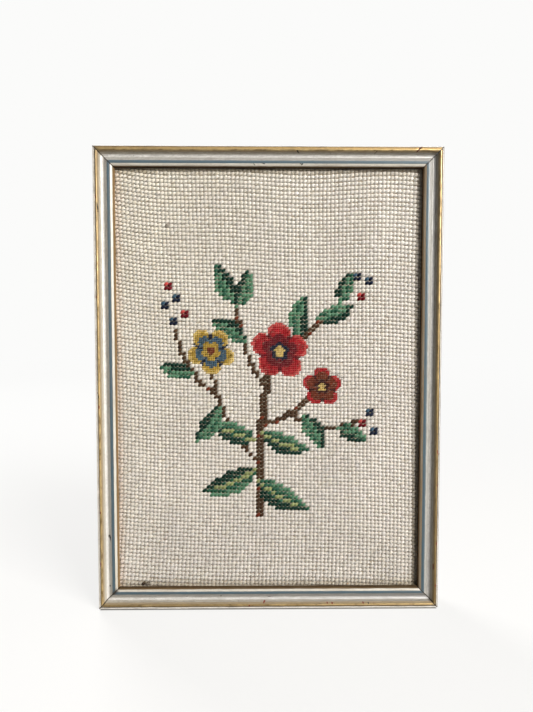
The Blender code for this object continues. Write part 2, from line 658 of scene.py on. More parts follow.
@dataclass(frozen=True)
class MouldingPaint:
    """The moulding's finish: aged leaf and paint in bands over red clay and wood, with painted light and
    shade in places.

    A stretch is how many cells of noise there are to the metre along the rail, round its
    section and across both. A rise is where a mask begins in its noise, where it is full, and
    sometimes what it is then.
    """

    profile: Profile
    side_wash: Colour = linear(186, 177, 160)
    # Painted shadow: a dark line along the front's outer edge.
    edge_shadow: Colour = linear(104, 90, 70)
    strip: Colour = linear(246, 242, 233)
    gold: Colour = linear(190, 163, 112)
    gold_dark: Colour = linear(66, 49, 28)
    # Brighter gold: brighter leaf, and also painted highlight in patches and along the top rail's bead.
    gold_bright_and_highlight: Colour = linear(228, 197, 138)
    gold_dull: Colour = linear(122, 100, 60)
    groove: Colour = linear(170, 152, 122)
    toning: Colour = linear(186, 179, 165)
    silver: Colour = linear(234, 232, 226)
    silver_dark: Colour = linear(184, 182, 176)
    # Tint for the silver's painted shade along some rails.
    silver_shade_tint: Colour = linear(206, 208, 214)
    blue: Colour = linear(68, 92, 104)
    inner_bead: Colour = linear(208, 203, 191)
    # Tan of worn paint, also painted shade on the right rail's inner bead and painted light on the left
    # sight and bottom wall.
    tan_wear_and_side_light: Colour = linear(150, 121, 82)
    sight: Colour = linear(104, 84, 58)
    # The sight edge and wall: dark stain, darkened further as painted shade.
    sight_edge_stain_and_shade: Colour = linear(44, 33, 20)
    sight_wall_stain_and_shade: Colour = linear(26, 18, 10)
    raw_wood: Colour = linear(172, 134, 92)
    red_clay: Colour = linear(118, 48, 34)
    pit_dark: Colour = linear(34, 26, 18)
    # Dark of dirt in the moulding's streaks and mottles.
    grime_and_shade: Colour = linear(66, 54, 40)
    back_edge: float = 0.8 * MM
    edge_shadow_before: float = 0.35 * MM
    edge_shadow_after: float = 0.34 * MM
    wall_depth: float = 1.25 * MM
    band_softness: float = 0.10 * MM
    softest: float = 0.4
    waver: float = 0.17 * MM
    waver_stretch: Triple = (140.0, 900.0, 1.0)
    tarnish_stretch: Triple = (260.0, 420.0, 1.0)
    fine_stretch: Triple = (170.0, 1700.0, 1.0)
    broad_stretch: Triple = (60.0, 900.0, 1.0)
    patch_stretch: Triple = (260.0, 520.0, 1.0)
    mottle_stretch: Triple = (620.0, 1300.0, 1.0)
    speck_stretch: Triple = (420.0, 620.0, 1.0)
    gilded_rise: Pair = (0.45, 0.6)
    bright_rise: Triple = (0.42, 0.66, 0.7)
    dull_rise: Triple = (0.48, 0.34, 0.7)
    grime_share: float = 0.46
    streak_share: float = 0.72
    uneven_rise: Triple = (0.45, 0.75, 0.3)
    silver_rise: Pair = (0.6, 0.95)
    mottle_rise: Triple = (0.46, 0.62, 0.5)
    rubbed_rise: Pair = (0.73, 0.78)
    rubbed_share: float = 0.8
    seam: float = 2.55 * MM
    seam_rise: Pair = (0.22 * MM, 0.08 * MM)
    seam_worn_rise: Pair = (0.56, 0.66)
    seam_share: float = 0.7
    speck_rise: Pair = (0.13, 0.06)
    chosen_rise: Pair = (0.72, 0.78)
    speck_share: float = 0.75
    joint_rise: Triple = (0.42 * MM, 0.08 * MM, 0.95)
    dust_scale: float = 75.0
    dust_amount: float = 0.16
    varnish_roughness: float = 0.25
    streak_roughness: float = 0.16
    bare_depth: float = 1.5
    relief_strength: float = 0.35
    relief_height: float = 0.08 * MM

    def bands(self) -> list[PaintBand]:
        """List the bands in the order of the section.

        Returns:
            The bands. Those on the face are placed by millimetres from the outer edge.
        """
        side_end = self.profile.depth - self.profile.strip_drop
        edge_shadow_start = side_end - self.edge_shadow_before
        edge_shadow_end = side_end + self.edge_shadow_after
        bands = [
            PaintBand(self.back_edge, self.raw_wood, 0.8, 0.0, 0.5),
            PaintBand(edge_shadow_start, self.side_wash, 0.6, 0.0, 0.8),
            # Painted shadow along the front's outer edge.
            PaintBand(edge_shadow_end, self.edge_shadow, 0.6, 0.0, 0.8),
        ]
        face = (
            (0.72, self.strip, 0.5, 0.0, 0.6),
            (1.22, self.gold_dark, 0.7, 0.0, 0.6),
            (2.5, self.gold, 0.34, 0.6, 0.6),
            (2.85, self.groove, 0.6, 0.05, 0.6),
            (3.7, self.toning, 0.46, 0.15, 1.0),
            (5.1, self.silver, 0.40, 0.2, 1.0),
            (7.02, self.silver_dark, 0.44, 0.15, 1.0),
            (8.75, self.blue, 0.42, 0.0, 0.5),
            (9.93, self.inner_bead, 0.40, 0.0, 0.5),
            (10.3, self.sight, 0.5, 0.0, 0.8),
            # Sight edge: dark stain and painted shade.
            (10.6, self.sight_edge_stain_and_shade, 0.6, 0.0, 0.8),
        )
        for inwards, *finish in face:
            bands.append(PaintBand(self.profile.run_at(inwards * MM), *finish))
        # The wall at the opening: dark stain and painted shade.
        wall_end = bands[-1].ends_at + self.wall_depth
        bands.append(PaintBand(wall_end, self.sight_wall_stain_and_shade, 0.7, 0.0, 0.8))
        bands.append(PaintBand(float(self.profile.run()[-1]), self.raw_wood, 0.85, 0.0, 0.5))
        return bands

    def _ramp(self, wires: Wiring, place: Any, stops: list[tuple[float, Colour]]) -> Socket:
        """Set a colour ramp's stops.

        Args:
            wires: The material's wires.
            place: Where on the ramp the colour is read.
            stops: Each stop's place and colour.

        Returns:
            The ramp's colour.
        """
        node = wires.add("ShaderNodeValToRGB", {"Fac": place})
        elements = node.color_ramp.elements
        elements[0].position, elements[0].color = stops[0]
        elements[1].position, elements[1].color = stops[-1]
        for position, colour in stops[1:-1]:
            elements.new(position).color = colour
        return node.outputs["Color"]

    def _banded(self, wires: Wiring, place: Any) -> tuple[Socket, NodeOutputs]:
        """Paint the clean bands, with edges that waver a little along the rail.

        Args:
            wires: The material's wires.
            place: Along the rail and round its section.

        Returns:
            The colour, and the roughness, the share of leaf and the share of streaks.
        """
        bands = self.bands()
        total = bands[-1].ends_at
        waver = wires.cloud(place, self.waver_stretch, 2.0)
        shift = wires.maths("MULTIPLY_ADD", waver, 2.0 * self.waver, -self.waver)
        round_section = wires.parts(place)[1]
        share = wires.maths("DIVIDE", wires.maths("ADD", round_section, shift), total)
        colours = []
        finishes = []
        start = 0.0
        for band in bands:
            soft = min(self.band_softness, (band.ends_at - start) * self.softest)
            finish = (band.roughness, band.leaf, band.streaks, 1.0)
            for edge in (start + soft, band.ends_at - soft):
                colours.append((edge / total, band.colour))
                finishes.append((edge / total, finish))
            start = band.ends_at
        colour = self._ramp(wires, share, colours)
        finish = wires.add("ShaderNodeSeparateColor", {0: self._ramp(wires, share, finishes)})
        return colour, finish.outputs

    def _aged_gold(self, wires: Wiring, place: Any, colour: Any, gilded: Any) -> Socket:
        """Brighten and dull the gold in patches and by rail. The brighter gold is partly brighter leaf and
        partly painted highlight, most of all in the top rail's band.

        Args:
            wires: The material's wires.
            place: Along the rail and round its section.
            colour: The paint so far.
            gilded: Where there is gold.

        Returns:
            The paint with its aged gold.
        """
        patches = wires.cloud(place, self.tarnish_stretch, 5.0)
        bright = wires.rise(patches, *self.bright_rise)
        dull = wires.rise(patches, *self.dull_rise)
        tarnish_and_highlight_share = wires.attribute("tarnish_and_highlight")
        polish_and_highlight = wires.times(tarnish_and_highlight_share, -1.0)
        dull = wires.greater(dull, tarnish_and_highlight_share)
        dull = wires.maths("SUBTRACT", dull, wires.greater(polish_and_highlight, 0.0), clamp=True)
        bright = wires.times(bright, wires.rest_of(tarnish_and_highlight_share, clamp=True))
        bright = wires.greater(bright, polish_and_highlight)
        # Painted highlight and brighter leaf.
        colour = wires.blend(wires.times(bright, gilded), colour, self.gold_bright_and_highlight)
        return wires.blend(wires.times(dull, gilded), colour, self.gold_dull)

    def _streaked(self, wires: Wiring, place: Any, colour: Any, streaky: Any, grain: Any) -> Socket:
        """Streak and mottle the paint, most of all the silver, and darken the silver as painted shade.

        Args:
            wires: The material's wires.
            place: Along the rail and round its section.
            colour: The paint so far.
            streaky: How much each band takes the streaks, less where painted light leaves them out.
            grain: The fine drawn grain's outputs.

        Returns:
            The streaked paint.
        """
        darker = wires.blend(self.grime_share, colour, self.grime_and_shade)
        worn_light = wires.times(grain["Tone"], streaky)
        colour = wires.blend(wires.times(worn_light, self.streak_share), colour, darker)
        broad = wires.grain(place, self.broad_stretch)["Height"]
        uneven = wires.rise(broad, *self.uneven_rise)
        colour = wires.blend(wires.times(uneven, streaky), colour, darker)
        on_silver = wires.rise(streaky, *self.silver_rise)
        # Painted shade: the silver darkened where a rail's highlight would be too bright.
        dull = wires.times(wires.attribute("dull"), on_silver, clamp=True)
        colour = wires.blend(dull, colour, self.silver_shade_tint, "MULTIPLY")
        mottle = wires.rise(wires.cloud(place, self.mottle_stretch, 3.0), *self.mottle_rise)
        return wires.blend(wires.times(mottle, streaky), colour, darker)

    def _bared_clay(self, wires: Wiring, place: Any, gilded: Any, patches: Any) -> Socket:
        """Find where the red clay shows: at marks, in rubbed gold and along the bead's foot.

        Args:
            wires: The material's wires.
            place: Along the rail and round its section.
            gilded: Where there is gold.
            patches: The noise of the rubbed patches.

        Returns:
            The clay's share.
        """
        rubbed = wires.times(wires.rise(patches, *self.rubbed_rise), gilded)
        clay = wires.greater(wires.attribute("bole"), wires.times(rubbed, self.rubbed_share))
        seam = self.profile.run_at(self.seam)
        off_seam = wires.maths("ABSOLUTE", wires.maths("SUBTRACT", wires.parts(place)[1], seam))
        at_seam = wires.rise(off_seam, *self.seam_rise)
        worn_seam = wires.times(at_seam, wires.rise(patches, *self.seam_worn_rise))
        return wires.greater(clay, wires.times(worn_seam, self.seam_share))

    def _pitted(self, wires: Wiring, place: Any, streaky: Any) -> Socket:
        """Find the pits and dark specks.

        Args:
            wires: The material's wires.
            place: Along the rail and round its section.
            streaky: How much each band takes them.

        Returns:
            Their share.
        """
        vector = wires.scaled(place, self.speck_stretch)
        cells = wires.add("ShaderNodeTexVoronoi", {"Vector": vector, "Scale": 1.0, "Randomness": 1.0})
        speck = wires.rise(cells.outputs["Distance"], *self.speck_rise)
        lot = wires.add("ShaderNodeSeparateColor", {0: cells.outputs["Color"]}).outputs[0]
        chosen = wires.times(wires.rise(lot, *self.chosen_rise), streaky)
        speck = wires.times(wires.times(speck, chosen), self.speck_share)
        return wires.greater(wires.attribute("pit"), speck)

    def material(self, name: str, varnish: float, shine: float) -> Material:
        """Build the paint.

        Args:
            name: The material's name.
            varnish: How much clear varnish lies over it.
            shine: How much the paint itself reflects.

        Returns:
            The material, which reads the rail's UV map and its marks.
        """
        material, wires, shader = new_material(name)
        place = wires.add("ShaderNodeUVMap", uv_map="rail").outputs["UV"]
        colour, (roughness, leaf, streaky, *_) = self._banded(wires, place)
        # The rubbed attribute is tan: worn patches, and painted light and shade by rail.
        colour = wires.blend(wires.attribute("rubbed"), colour, self.tan_wear_and_side_light)
        gilded = wires.rise(leaf, *self.gilded_rise)
        colour = self._aged_gold(wires, place, colour, gilded)

        # Below nought the stored value leaves out streaks: painted light on the silver.
        clean = wires.times(wires.attribute("dull"), -1.0, clamp=True)
        streaky = wires.times(streaky, wires.rest_of(clean))
        fine = wires.grain(place, self.fine_stretch)
        colour = self._streaked(wires, place, colour, streaky, fine)

        patches = wires.cloud(place, self.patch_stretch, 3.0)
        clay = self._bared_clay(wires, place, gilded, patches)
        colour = wires.blend(clay, colour, self.red_clay)
        dark = self._pitted(wires, place, streaky)
        colour = wires.blend(dark, colour, self.pit_dark)
        near_joint = wires.rise(wires.attribute("joint"), *self.joint_rise)
        colour = wires.blend(near_joint, colour, self.pit_dark)
        colour = wires.dusted(colour, place, self.dust_scale, self.dust_amount)

        bare = wires.greater(clay, wires.greater(dark, near_joint))
        kept = wires.rest_of(bare, clamp=True)
        rougher = wires.maths("MULTIPLY_ADD", fine["Tone"], self.streak_roughness, roughness)
        wires.feed(shader, {
            "Base Color": colour,
            "Metallic": wires.times(leaf, kept),
            "Roughness": wires.greater(rougher, bare),
            "Coat Weight": varnish,
            "Coat Roughness": self.varnish_roughness,
            "Specular IOR Level": shine,
        })
        height = wires.maths("MULTIPLY_ADD", fine["Height"], streaky, patches)
        height = wires.maths("SUBTRACT", height, wires.times(bare, self.bare_depth))
        wires.relief(shader, height, self.relief_strength, self.relief_height)
        return material


@dataclass
class Moulding:
    """The four rails of the frame, each replacing its plain solid.

    Cells are cells of noise to the metre. Their second number may say which layer is read.
    """

    size: OuterSize
    profile: Profile
    paint: MouldingPaint
    marks: tuple[Mark, ...]
    wear: dict[Side, RailWear]
    mitre_gap: float = 0.06 * MM
    step_along: float = 2.5 * MM
    fine_step: float = 0.22 * MM
    fine_reach: float = 2.4 * MM
    closest_steps: float = 0.4
    unevenness: float = 0.045 * MM
    uneven_cells: Pair = (55.0, 420.0)
    uneven_layers: Pair = (3.0, 0.5)
    ragged_cells: float = 1400.0
    ragged_layers: float = 7.0
    raggedness: float = 0.35
    mark_edge: Pair = (1.15, 0.75)
    patch_cells: Pair = (38.0, 4.0)
    patchiness: float = 0.25
    blotch_cells: Pair = (85.0, 9.0)
    blotchiness: float = 0.3
    highlight_dulled: float = 0.5
    bead_band: SoftBand = SoftBand(8.7, 8.95, 10.0, 10.3)
    highlight_band: SoftBand = SoftBand(0.6, 0.8, 1.5, 2.0)
    line_band: SoftBand = SoftBand(7.6, 8.5, 9.6, 10.3)
    sight_band: SoftBand = SoftBand(9.3, 9.65, 10.4, 10.6)
    foot_band: SoftBand = SoftBand(0.55, 0.68, 1.2, 1.5)
    edge_shadow_rise: Pair = (0.45 * MM, 0.1 * MM)
    sight_rise: Pair = (9.9 * MM, 10.1 * MM)
    wall_rise: Pair = (10.61 * MM, 10.66 * MM)
    closing_step: float = 3.0 * MM
    sharp_edge: float = math.radians(38.0)
    varnish: float = 0.3
    varnished_shine: float = 0.5
    stain_shine: float = 0.1
    pieces: list[Object] = field(default_factory=list)

    def _local(self, side: Side, across: float, up: float) -> Pair:
        """Turn a place on the frame's face into one on a rail.

        Args:
            side: Which rail.
            across: X on the frame.
            up: Z on the frame.

        Returns:
            Along and inwards.
        """
        middle_across, middle_up = self.size.corner(side)
        cos, sin = math.cos(side.turn), math.sin(side.turn)
        right, above = across - middle_across, up - middle_up
        return right * cos - above * sin, right * sin + above * cos

    def _stations(self, side: Side) -> Array:
        """Choose places along the outer edge: even steps, and close ones round each mark.

        Args:
            side: Which rail.

        Returns:
            The places, from one end to the other.
        """
        half = self.size.length(side) / 2.0
        count = int(round(2.0 * half / self.step_along))
        places = set(np.linspace(-half, half, count + 1))
        for mark in self.marks:
            if mark.side is not side:
                continue
            along, _ = self._local(side, mark.across, mark.up)
            reach = max(mark.half_length, mark.half_width) + self.fine_reach
            near = np.linspace(along - reach, along + reach, int(2.0 * reach / self.fine_step))
            places.update(near[np.abs(near) < half])
        ordered = np.array(sorted(places))
        keep = np.concatenate(([True], np.diff(ordered) > self.closest_steps * self.fine_step))
        keep[-1] = True
        return ordered[keep]

    def _marked(self, side: Side, along: Array, inwards: Array) -> tuple[dict, Array]:
        """Work out the marks over a rail's points.

        Args:
            side: Which rail.
            along: Place along the rail of each point.
            inwards: Place across the rail of each point.

        Returns:
            The cover of each kind of wear, and how deep the marks are.
        """
        cover = {wear: np.zeros_like(along) for wear in Wear}
        depth = np.zeros_like(along)
        layer = side.value * self.ragged_layers
        ragged = noise_at(along * self.ragged_cells, inwards * self.ragged_cells, layer)
        for mark in self.marks:
            if mark.side is not side:
                continue
            centre_along, centre_inwards = self._local(side, mark.across, mark.up)
            right, above = along - centre_along, inwards - centre_inwards
            cos, sin = math.cos(mark.turn), math.sin(mark.turn)
            long_way = (right * cos + above * sin) / mark.half_length
            short_way = (above * cos - right * sin) / mark.half_width
            reach = np.hypot(long_way, short_way) + self.raggedness * ragged
            mask = smooth_step(*self.mark_edge, reach)
            cover[mark.wear] = np.maximum(cover[mark.wear], mask)
            depth = np.maximum(depth, mask * mark.deep)
        return cover, depth

    def _between_ends(self, side: Side, ends: Pair, along: Array) -> Array:
        """Go evenly along a rail from one end's value to the other's."""
        first, last = ends
        return first + (last - first) * (along / self.size.length(side) + 0.5)

    def _bead_wear_and_side_light(self, side: Side, along: Array, inwards: Array) -> Array:
        """Work out where tan is painted: worn patches on the inner bead, and painted light and shade by
        rail, shade on the right rail's inner bead and light on the left rail's sight and the bottom rail's
        wall.

        Args:
            side: Which rail.
            along: Place along the rail of each point.
            inwards: Place across the rail of each point.

        Returns:
            The share of tan at each point.
        """
        wear = self.wear[side]
        cells, layer = self.patch_cells
        patches = noise_at(along[:, -1] * cells, side.value, layer)
        amount = np.clip(wear.tan_wear_and_side_light + self.patchiness * patches, 0.0, 1.0)
        on_bead = amount[:, None] * self.bead_band.share(inwards)
        on_sight = smooth_step(*self.sight_rise, inwards) * wear.sight_painted_light
        on_wall = smooth_step(*self.wall_rise, inwards) * wear.wall_painted_light
        return np.maximum(on_bead, np.maximum(on_sight, on_wall))

    def _tarnish_and_highlight(self, side: Side, along: Array, inwards: Array) -> Array:
        """Work out how dull the gold is, and below nought how bright: brighter leaf at some rails' ends, and
        a painted highlight along the top rail's gold bead.

        Args:
            side: Which rail.
            along: Place along the rail of each point.
            inwards: Place across the rail of each point.

        Returns:
            The value at each point.
        """
        wear = self.wear[side]
        cells, layer = self.blotch_cells
        blotches = noise_at(along[:, -1] * cells, side.value, layer)
        dull = self._between_ends(side, wear.dull_gold, along)
        dull = np.clip(dull + self.blotchiness * blotches[:, None], 0.0, 1.0)
        # Painted highlight along the gold bead, where a rail has one.
        polish_and_highlight = wear.polish_and_highlight * self.highlight_band.share(inwards)
        return dull - polish_and_highlight * (1.0 - self.highlight_dulled * dull)

    def _painted_round(self, side: Side, inwards: Array) -> Array:
        """Say which place of the paint lies at each point of the section.

        Args:
            side: Which rail.
            inwards: Place across the rail of each point of the section.

        Returns:
            Distances round the section, moved by the rail's strays.
        """
        wear = self.wear[side]
        painted = self.profile.run() - wear.line_stray * self.line_band.share(inwards)
        painted += wear.sight_stray * self.sight_band.share(inwards)
        painted += wear.foot_stray * self.foot_band.share(inwards)
        # The edge stray moves the painted edge shadow further off the front on some rails.
        return painted + wear.edge_shadow_stray * smooth_step(*self.edge_shadow_rise, inwards)

    def _lay_out_paint(self, mesh: Mesh, side: Side, along: Array, inwards: Array) -> None:
        """Store the paint's coordinates as the UV map that the paint reads.

        Args:
            mesh: The rail's mesh.
            side: Which rail it is.
            along: Place along the rail of each point.
            inwards: Place across the rail of each point.
        """
        painted = self._painted_round(side, inwards[0])
        columns = along.shape[1]
        round_section = np.broadcast_to(painted, along.shape).ravel()
        flat = np.stack([(along + side.value).ravel(), round_section], axis=-1)
        closing = float(self.profile.run()[-1]) + self.closing_step
        corners = []
        for polygon in mesh.polygons:
            spots = {vertex % columns for vertex in polygon.vertices}
            wraps = len(polygon.vertices) == 4 and {0, columns - 1} <= spots
            for vertex in polygon.vertices:
                place = flat[vertex]
                at = closing if wraps and vertex % columns == 0 else place[1]
                corners.extend((place[0], at))
        layer = mesh.uv_layers.new(name="rail")
        layer.data.foreach_set("uv", np.array(corners, np.float32))

    def _stain_sight_edge(self, mesh: Mesh) -> None:
        """Give the slope and the wall at the opening the matte stain.

        Args:
            mesh: The rail's mesh.
        """
        outline = self.profile.outline()
        above_lip = outline[:, 1] < self.profile.lip_drop + HAIR
        stained = (outline[:, 0] > self.profile.sight_start) & above_lip
        columns = len(outline)
        for polygon in mesh.polygons:
            if len(polygon.vertices) == 4 and all(stained[v % columns] for v in polygon.vertices):
                polygon.material_index = 1

    def _faces(self, rows: int, columns: int) -> list[tuple[int, ...]]:
        """Join rows of points into a closed bar.

        Args:
            rows: How many sections there are along the rail.
            columns: How many points there are round each.

        Returns:
            The faces, with the two mitred ends last.
        """
        index = np.arange(rows * columns).reshape(rows, columns)
        index = np.concatenate((index, index[:, :1]), axis=1).tolist()
        faces = []
        for near, far in zip(index, index[1:]):
            for column in range(columns):
                faces.append((near[column], far[column], far[column + 1], near[column + 1]))
        faces.append(tuple(index[0][:-1]))
        faces.append(tuple(index[-1][-2::-1]))
        return faces

    def _mesh(self, side: Side) -> Mesh:
        """Sweep the section along one rail, with its marks and a hand-made unevenness.

        Args:
            side: Which rail.

        Returns:
            The rail's mesh, with the attributes and the UV map that the paint reads.
        """
        outline = self.profile.outline()
        half = self.size.length(side) / 2.0
        halves = half - outline[:, 0] - self.mitre_gap / math.sqrt(2.0)
        along = (self._stations(side) / half)[:, None] * halves[None, :]
        inwards = np.broadcast_to(outline[:, 0], along.shape)
        drop = np.broadcast_to(outline[:, 1], along.shape)
        cover, depth = self._marked(side, along, inwards)
        face = smooth_step(self.profile.lip_drop, self.profile.slope_drop, drop)
        cells_along, cells_inwards = self.uneven_cells
        apart, first = self.uneven_layers
        wave = noise_at(along * cells_along, inwards * cells_inwards, side.value * apart + first)
        sunk = drop + face * (depth + self.unevenness * (1.0 + wave))
        middle_across, middle_up = self.size.corner(side)
        cos, sin = math.cos(side.turn), math.sin(side.turn)
        across = middle_across + along * cos + inwards * sin
        up = middle_up - along * sin + inwards * cos
        points = np.stack([across, sunk - self.size.depth / 2.0, up], axis=-1)
        mesh = bpy.data.meshes.new(f"{side.node}_moulding")
        mesh.from_pydata(points.reshape(-1, 3).tolist(), [], self._faces(*along.shape))
        values = {
            "bole": cover[Wear.BOLE],
            "pit": cover[Wear.PIT],
            "joint": (halves[None, :] - np.abs(along)) * math.sqrt(0.5),
            # Tan stored as rubbed: worn patches, and painted light and shade by rail.
            "rubbed": self._bead_wear_and_side_light(side, along, inwards),
            "tarnish_and_highlight": self._tarnish_and_highlight(side, along, inwards),
            # Silver's painted light and shade, stored as dull.
            "dull": self._between_ends(side, self.wear[side].silver_light_and_shade, along),
        }
        for name, data in values.items():
            layer = mesh.attributes.new(name, "FLOAT", "POINT")
            layer.data.foreach_set("value", data.ravel().astype(np.float32))
        self._lay_out_paint(mesh, side, along, inwards)
        turned = bmesh.new()
        turned.from_mesh(mesh)
        bmesh.ops.recalc_face_normals(turned, faces=turned.faces[:])
        turned.to_mesh(mesh)
        turned.free()
        mesh.shade_smooth()
        mesh.set_sharp_from_angle(angle=self.sharp_edge)
        return mesh

    def build(self) -> None:
        """Make the four rails and put each in its solid's place."""
        varnished = self.paint.material("moulding_paint", self.varnish, self.varnished_shine)
        stained = self.paint.material("sight_edge_stain", 0.0, self.stain_shine)
        for side in Side:
            mesh = self._mesh(side)
            mesh.materials.append(varnished)
            mesh.materials.append(stained)
            self._stain_sight_edge(mesh)
            piece = linked(mesh.name, mesh)
            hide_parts(side.node)
            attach(piece, "root")
            self.pieces.append(piece)
            LOG.info("%s: %d faces", piece.name, len(mesh.polygons))


class Yarn(Enum):
    """The wool colours on the canvas."""

    CREAM = linear(220, 213, 204)
    FOREST = linear(26, 56, 46)
    LEAF = linear(50, 94, 74)
    SAGE = linear(92, 134, 106)
    VEIN = linear(150, 158, 108)
    BARK = linear(78, 58, 42)
    NAVY = linear(30, 38, 56)
    SLATE = linear(66, 92, 110)
    RUST = linear(112, 54, 36)
    PLUM = linear(58, 28, 28)
    OCHRE = linear(172, 142, 62)
    STRAW = linear(206, 178, 108)
    RED = linear(166, 38, 44)
    MAROON = linear(108, 28, 36)
    ROSE = linear(190, 80, 76)


@dataclass(frozen=True)
class StitchGrid:
    """Where each stitch lies: even rows and columns, drawn askew as the canvas was stretched.

    Stretch fields are in stitches at the opening's edge. They say how far the count of rows
    or columns strays from even steps.
    """

    size: OuterSize
    profile: Profile
    columns_to_edge: float = 39.45
    rows_to_edge: float = 55.16
    row_skew: float = 1.42
    row_twist: float = -0.27
    row_bow: float = -0.51
    row_crowding: float = -0.48
    row_curl: float = 0.98
    row_end_crowding: float = -1.26
    row_wave: float = 0.17
    row_wave_twist: float = 0.22
    row_waves: float = 6.0
    row_side_crowding: float = -0.66
    row_side_skew: float = -1.16
    column_lean: float = 1.0
    column_bow: float = 0.73
    column_curl: float = -0.67
    column_spread: float = -1.24
    settling_rounds: int = 6

    @property
    def half_width(self) -> float:
        """Half the opening's width."""
        return self.size.width / 2.0 - self.profile.face_width

    @property
    def half_height(self) -> float:
        """Half the opening's height."""
        return self.size.height / 2.0 - self.profile.face_width

    @property
    def pitch(self) -> float:
        """The mean distance between stitches."""
        across = self.half_width / self.columns_to_edge
        return (across + self.half_height / self.rows_to_edge) / 2.0

    def _row_stray(self, u: Array, v: Array) -> Array:
        """Say how far the row count strays.

        Args:
            u: Shares of the opening across.
            v: Shares of the opening up.

        Returns:
            Rows.
        """
        stray = self.row_skew * u + self.row_twist * u * v
        stray += self.row_bow * u ** 2 + self.row_crowding * v ** 2
        stray += self.row_curl * u ** 3 + self.row_end_crowding * v ** 3
        stray += self.row_side_crowding * u ** 2 * v
        stray += self.row_side_skew * u * v ** 2
        return stray + np.sin(self.row_waves * u) * (self.row_wave + self.row_wave_twist * v)

    def _column_stray(self, u: Array, v: Array) -> Array:
        """How far the column count strays, as the row count does."""
        stray = self.column_lean * v + self.column_bow * v ** 2
        return stray + self.column_curl * v ** 3 + self.column_spread * u * v ** 2

    def count(self, across: Array, up: Array) -> tuple[Array, Array]:
        """Count the stitches to a place on the canvas.

        Args:
            across: Metres across from the opening's middle.
            up: Metres up from it.

        Returns:
            Column and row.
        """
        u, v = across / self.half_width, up / self.half_height
        columns = self.columns_to_edge * u + self._column_stray(u, v)
        return columns, self.rows_to_edge * v + self._row_stray(u, v)

    def place(self, column: Array, row: Array) -> tuple[Array, Array]:
        """Find where stitches lie on the canvas.

        Args:
            column: Column counts from the middle.
            row: Row counts from the middle, upwards.

        Returns:
            Metres across and up from the opening's middle.
        """
        u = column / self.columns_to_edge
        v = row / self.rows_to_edge
        for _ in range(self.settling_rounds):
            next_u = (column - self._column_stray(u, v)) / self.columns_to_edge
            v = (row - self._row_stray(u, v)) / self.rows_to_edge
            u = next_u
        return u * self.half_width, v * self.half_height


@dataclass(frozen=True)
class Stem:
    """A stem on the stitch grid, one bend between its two ends."""

    start: Cell
    bend: Cell
    end: Cell
    thick: bool = False
    steps: int = 90
    rust_every: int = 7

    def cells(self) -> dict[tuple[int, int], Yarn]:
        """Work out the stem's stitches.

        Returns:
            The cells that the stem covers, with their yarns.
        """
        covered = {}
        for share in np.linspace(0.0, 1.0, self.steps):
            first, middle, last = (1.0 - share) ** 2, 2.0 * share * (1.0 - share), share ** 2
            ends = zip(self.start, self.bend, self.end)
            i, j = (round(first * a + middle * b + last * c) for a, b, c in ends)
            rusty = (3 * i + 5 * j) % self.rust_every == 0
            covered[(i, j)] = Yarn.RUST if rusty else Yarn.BARK
            if self.thick:
                covered[(i + 1, j)] = Yarn.BARK
        return covered


@dataclass(frozen=True)
class Leaf:
    """A pointed leaf with a lit and a shaded half, and a pale vein on the larger ones."""

    base: Cell
    length: float
    heading: float
    half_width: float
    curl: float = 0.0
    lit_side: int = 1
    fullest: float = 0.8
    roundness: float = 0.75
    vein: Pair = (0.5, 0.8)
    pale_vein_from: float = 2.6
    lit_edge: Pair = (0.55, 0.2)
    dark_edge: float = 0.25

    def yarn(self, x: float, y: float) -> Optional[Yarn]:
        """Choose the leaf's yarn at a place.

        Args:
            x: Columns.
            y: Rows.

        Returns:
            The yarn, or None outside the leaf.
        """
        heading = math.radians(self.heading)
        dx, dy = x - self.base[0], y - self.base[1]
        share = (dx * math.cos(heading) + dy * math.sin(heading)) / self.length
        if not 0.0 <= share <= 1.0:
            return None
        aside = dy * math.cos(heading) - dx * math.sin(heading)
        aside -= self.curl * self.length * share * (1.0 - share)
        half = self.half_width * math.sin(math.pi * share ** self.fullest) ** self.roundness
        if abs(aside) > half:
            return None
        vein_width, vein_end = self.vein
        if abs(aside) < vein_width and share < vein_end:
            return Yarn.VEIN if self.half_width > self.pale_vein_from else Yarn.SAGE
        to_light = aside * self.lit_side
        edge, from_base = self.lit_edge
        if to_light > 0.0:
            return Yarn.SAGE if to_light > half * edge and share > from_base else Yarn.LEAF
        return Yarn.FOREST if -to_light > half * self.dark_edge else Yarn.LEAF


@dataclass(frozen=True)
class Blossom:
    """An open blossom seen from the front: rings of colour out to round petals."""

    centre: Cell
    radius: float
    petals: int
    turn: float
    rings: tuple[tuple[float, Yarn], ...]
    gap: Yarn
    notch: float = 0.62
    roundness: float = 0.6
    gap_width: float = 0.22
    gap_from: float = 0.35

    def yarn(self, x: float, y: float) -> Optional[Yarn]:
        """Choose the blossom's yarn at a place.

        Args:
            x: Columns.
            y: Rows.

        Returns:
            The yarn, or None outside the blossom.
        """
        dx, dy = x - self.centre[0], y - self.centre[1]
        angle = math.atan2(dy, dx) - math.radians(self.turn)
        lobe = abs(math.cos(angle * self.petals / 2.0))
        petal = self.notch + (1.0 - self.notch) * lobe ** self.roundness
        share = math.hypot(dx, dy) / (self.radius * petal)
        if share > 1.0:
            return None
        if lobe < self.gap_width and share > self.gap_from:
            return self.gap
        return next(yarn for limit, yarn in self.rings if share <= limit)


@dataclass(frozen=True)
class Berry:
    """A round berry two stitches wide, lit on top."""

    cell: tuple[int, int]
    dark: Yarn
    light: Yarn

    def cells(self) -> dict[tuple[int, int], Yarn]:
        """The berry's cells, with their yarns."""
        i, j = self.cell
        return {(i, j): self.dark, (i + 1, j): self.dark, (i, j + 1): self.light, (i + 1, j + 1): self.dark}


